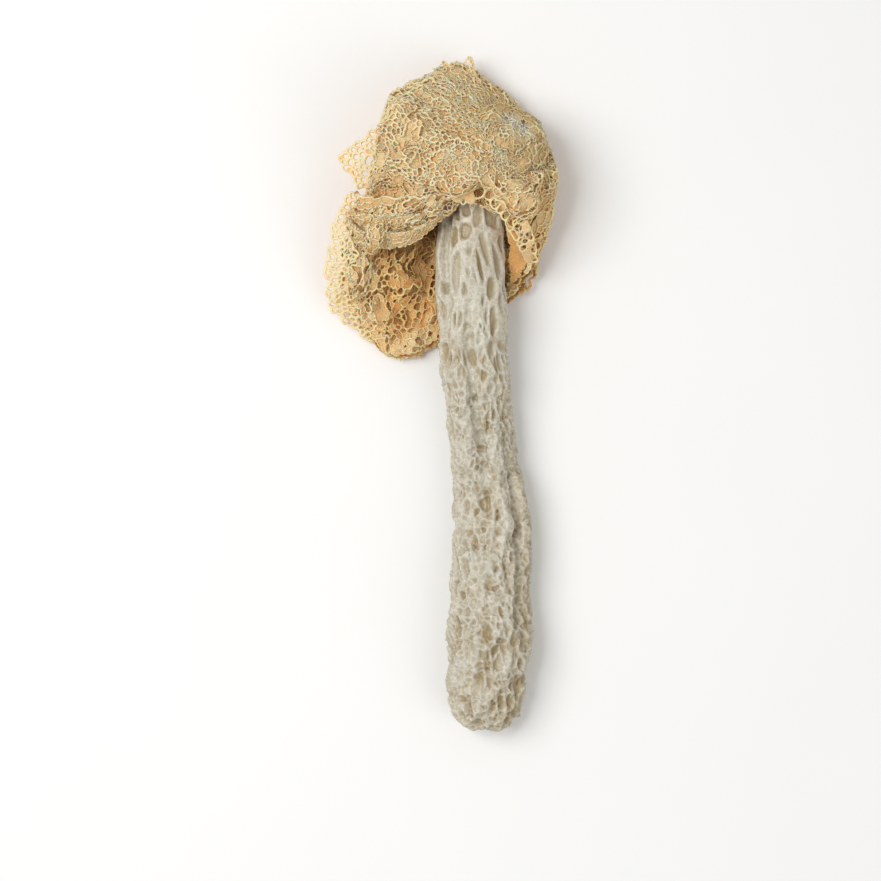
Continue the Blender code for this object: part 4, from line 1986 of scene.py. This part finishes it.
        # Painted shade: the deeper layers, the net's underside, its hollows and the spots beside the
        # stem go orange
        most, less = self.shade_behind
        depth = layer.depth * (1 - behind) + (most - less * layer.depth) * behind
        depth = np.clip(depth + raised, 0.0, 1.0)
        for deeper in near_spots(smooth, self.shade_spots):
            depth = depth + deeper
        depth = np.maximum(depth, 0.0)
        bold = np.zeros_like(depth)
        for bolder in near_spots(smooth, self.bold_spots):
            bold = np.maximum(bold, bolder)
        if layer.sink:
            gained, kept = self.under_bold
            depth, bold = depth + gained * bold, kept * bold
        hidden = layer.seen * behind + (1.0 - layer.seen) * (1.0 - behind)
        room = 1.0 + layer.weave.coarser * hidden + self.bolder * bold
        return np.stack([depth, bold, room], axis=2)

    def sheet(self, layer: Layer) -> Sheet:
        """The form of one layer.

        Args:
            layer: Says how deep the layer lies and shifts its crumples.

        Returns:
            The sheet.
        """
        smooth, outward, v = self.draped(layer.hemmed)
        facing = outward[..., 2]
        behind = smooth_step(*self.behind, facing)
        calm = self.rim_calm + (1 - self.rim_calm) * smooth_step(*self.rim, np.abs(facing))
        loose = smooth_step(self.loose_from, self.loose_to, v) * calm
        lift, crumple = self.lifted(smooth, facing), self.crumpled(smooth, outward)
        fine = cloud(smooth, self.fine_size, self.shifts[2] + layer.shift) * self.loose_height
        moved = smooth + (outward * lift[..., None] + crumple + fine) * loose[..., None]
        sink = layer.sink * (1.0 + self.heaped * behind) + self.heaped * behind * lift
        moved -= outward * (sink * loose)[..., None]
        height = (lift + (crumple * outward).sum(axis=2)) * (1 - 2 * behind)
        # Painted shade in the hollows of the crumples
        raised = self.hollow_shade * (self.hollow_from - height) * loose
        measures = self.measured(layer, smooth, behind, raised)
        return Sheet(np.concatenate([self.kept_in(moved), measures], axis=2), True)

    def veil_sheet(self) -> Sheet:
        """Shapes the fine lace drawn over the cap's edge.

        Returns:
            The veil's form.
        """
        turns = np.linspace(0.0, 1.0, self.veil_columns, endpoint=False)
        rows = along_line(np.array(self.veil), np.linspace(0.0, 1.0, self.veil_rows))
        lean = self.veil_slant * np.cos(TURN * turns)
        grid = np.array([
            self.cap.about(turns, np.full(len(turns), r), h - lean * smooth_step(*self.veil_leans, r))
            for r, h in rows
        ])
        grid += sum(cloud(grid, size, shift) * height for size, shift, height in self.veil_crumples)
        depth = smooth_step(*self.bleached, np.linalg.norm(grid - np.array(self.patch), axis=2))
        return Sheet(with_measures(grid, depth), True)

    def build(self) -> list[bpy.types.Object]:
        """Makes the dressed layers and lips of the skirt.

        Returns:
            The pieces.
        """
        made = []
        for layer in self.layers:
            made += lace_objects(layer.name, self.sheet(layer), layer.weave)
        made += lace_objects("net_veil", self.veil_sheet(), self.veil_weave)
        for lip in self.lips:
            made += lace_objects(lip.name, lip.sheet(), lip.weave)
        strands, film = LaceFinish("net_lace").material(), FilmFinish("net_film").material()
        fine = LaceFinish("net_veil", outer=self.bleach, inner=self.veil_inner).material()
        fine_film = FilmFinish("veil_film", pale=self.bleach, dark=self.veil_dark).material()
        for piece in made:
            piece.data.materials.clear()
            thin = piece.name.endswith("_film")
            if piece.name.startswith("net_veil"):
                piece.data.materials.append(fine_film if thin else fine)
            else:
                piece.data.materials.append(film if thin else strands)
            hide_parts("net_skirt")
        return made


class Glow(Enum):
    """The studio's lights: where each is, its width and its strength."""

    KEY = ((-420.0, 160.0, 620.0), 460.0, 3.3)
    FILL = ((480.0, -300.0, 520.0), 600.0, 1.25)
    GLINT = ((-170.0, 130.0, 560.0), 70.0, 0.2)


@dataclass
class Studio:
    """The pale table, the soft lights and the camera above."""

    aim: Point = (-12.9, 50.3, 12.0)
    seen: float = 229.06
    lens: float = 100.0
    sensor: float = 36.0
    table: float = 1500.0
    sky: float = 0.48
    sky_colour: Colour = (1.0, 0.99, 0.97)
    clip: Span = (0.01, 10.0)

    def build(self) -> None:
        """Makes the table, lights, sky and camera."""
        self.make_table()
        for glow in Glow:
            self.make_light(glow)
        self.make_sky()
        self.make_camera()

    def make_table(self) -> None:
        """The table, at the height of the fungus's resting spot."""
        half = self.table * MM
        mesh = bpy.data.meshes.new("table")
        corners = [(-half, -half, 0), (half, -half, 0), (half, half, 0), (-half, half, 0)]
        mesh.from_pydata(corners, [], [(0, 1, 2, 3)])
        piece = linked("table", mesh)
        piece.data.materials.append(TableFinish().material())

    def make_light(self, glow: Glow) -> None:
        """Makes one soft square light turned towards the fungus.

        Args:
            glow: Which light.
        """
        place, width, strength = glow.value
        light = bpy.data.lights.new(glow.name.lower(), "AREA")
        light.size = width * MM
        light.energy = strength
        lamp = bpy.data.objects.new(light.name, light)
        lamp.location = Vector(place) * MM
        toward = Vector(self.aim) * MM - lamp.location
        lamp.rotation_euler = toward.to_track_quat("-Z", "Y").to_euler()
        bpy.context.scene.collection.objects.link(lamp)

    def make_sky(self) -> None:
        """An even pale light from all sides."""
        world = bpy.data.worlds.new("studio")
        world.use_nodes = True
        back = world.node_tree.nodes["Background"]
        back.inputs["Color"].default_value = (*self.sky_colour, 1.0)
        back.inputs["Strength"].default_value = self.sky
        bpy.context.scene.world = world
        bpy.context.scene.view_settings.view_transform = "Standard"

    def make_camera(self) -> None:
        """The camera, straight above and as wide as the photograph's scale asks."""
        camera = bpy.data.cameras.new("camera")
        camera.lens = self.lens
        camera.sensor_width = self.sensor
        camera.clip_start, camera.clip_end = self.clip
        holder = bpy.data.objects.new("camera", camera)
        above = self.seen * self.lens / self.sensor
        holder.location = (Vector(self.aim) + Vector((0.0, 0.0, above))) * MM
        bpy.context.scene.collection.objects.link(holder)
        bpy.context.scene.camera = holder


def report(piece: bpy.types.Object) -> None:
    """Makes the piece ride on the body and says how big it is.

    Args:
        piece: The piece.
    """
    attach(piece, BODY)
    piece.data.calc_loop_triangles()
    log.info("%s: %d triangles", piece.name, len(piece.data.loop_triangles))


def main() -> None:
    """Builds the fungus and its studio."""
    logging.basicConfig(level=logging.INFO, format="%(relativeCreated)7.0f %(message)s")
    noise.seed_set(CLOUD_SEED)
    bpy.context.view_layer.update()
    stem = Stem()
    report(stem.build())
    cap = Cap()
    report(cap.build())
    skirt = LaceSkirt(stem, cap)
    for piece in skirt.build():
        report(piece)
    Studio().build()


if __name__ == "__main__":
    main()
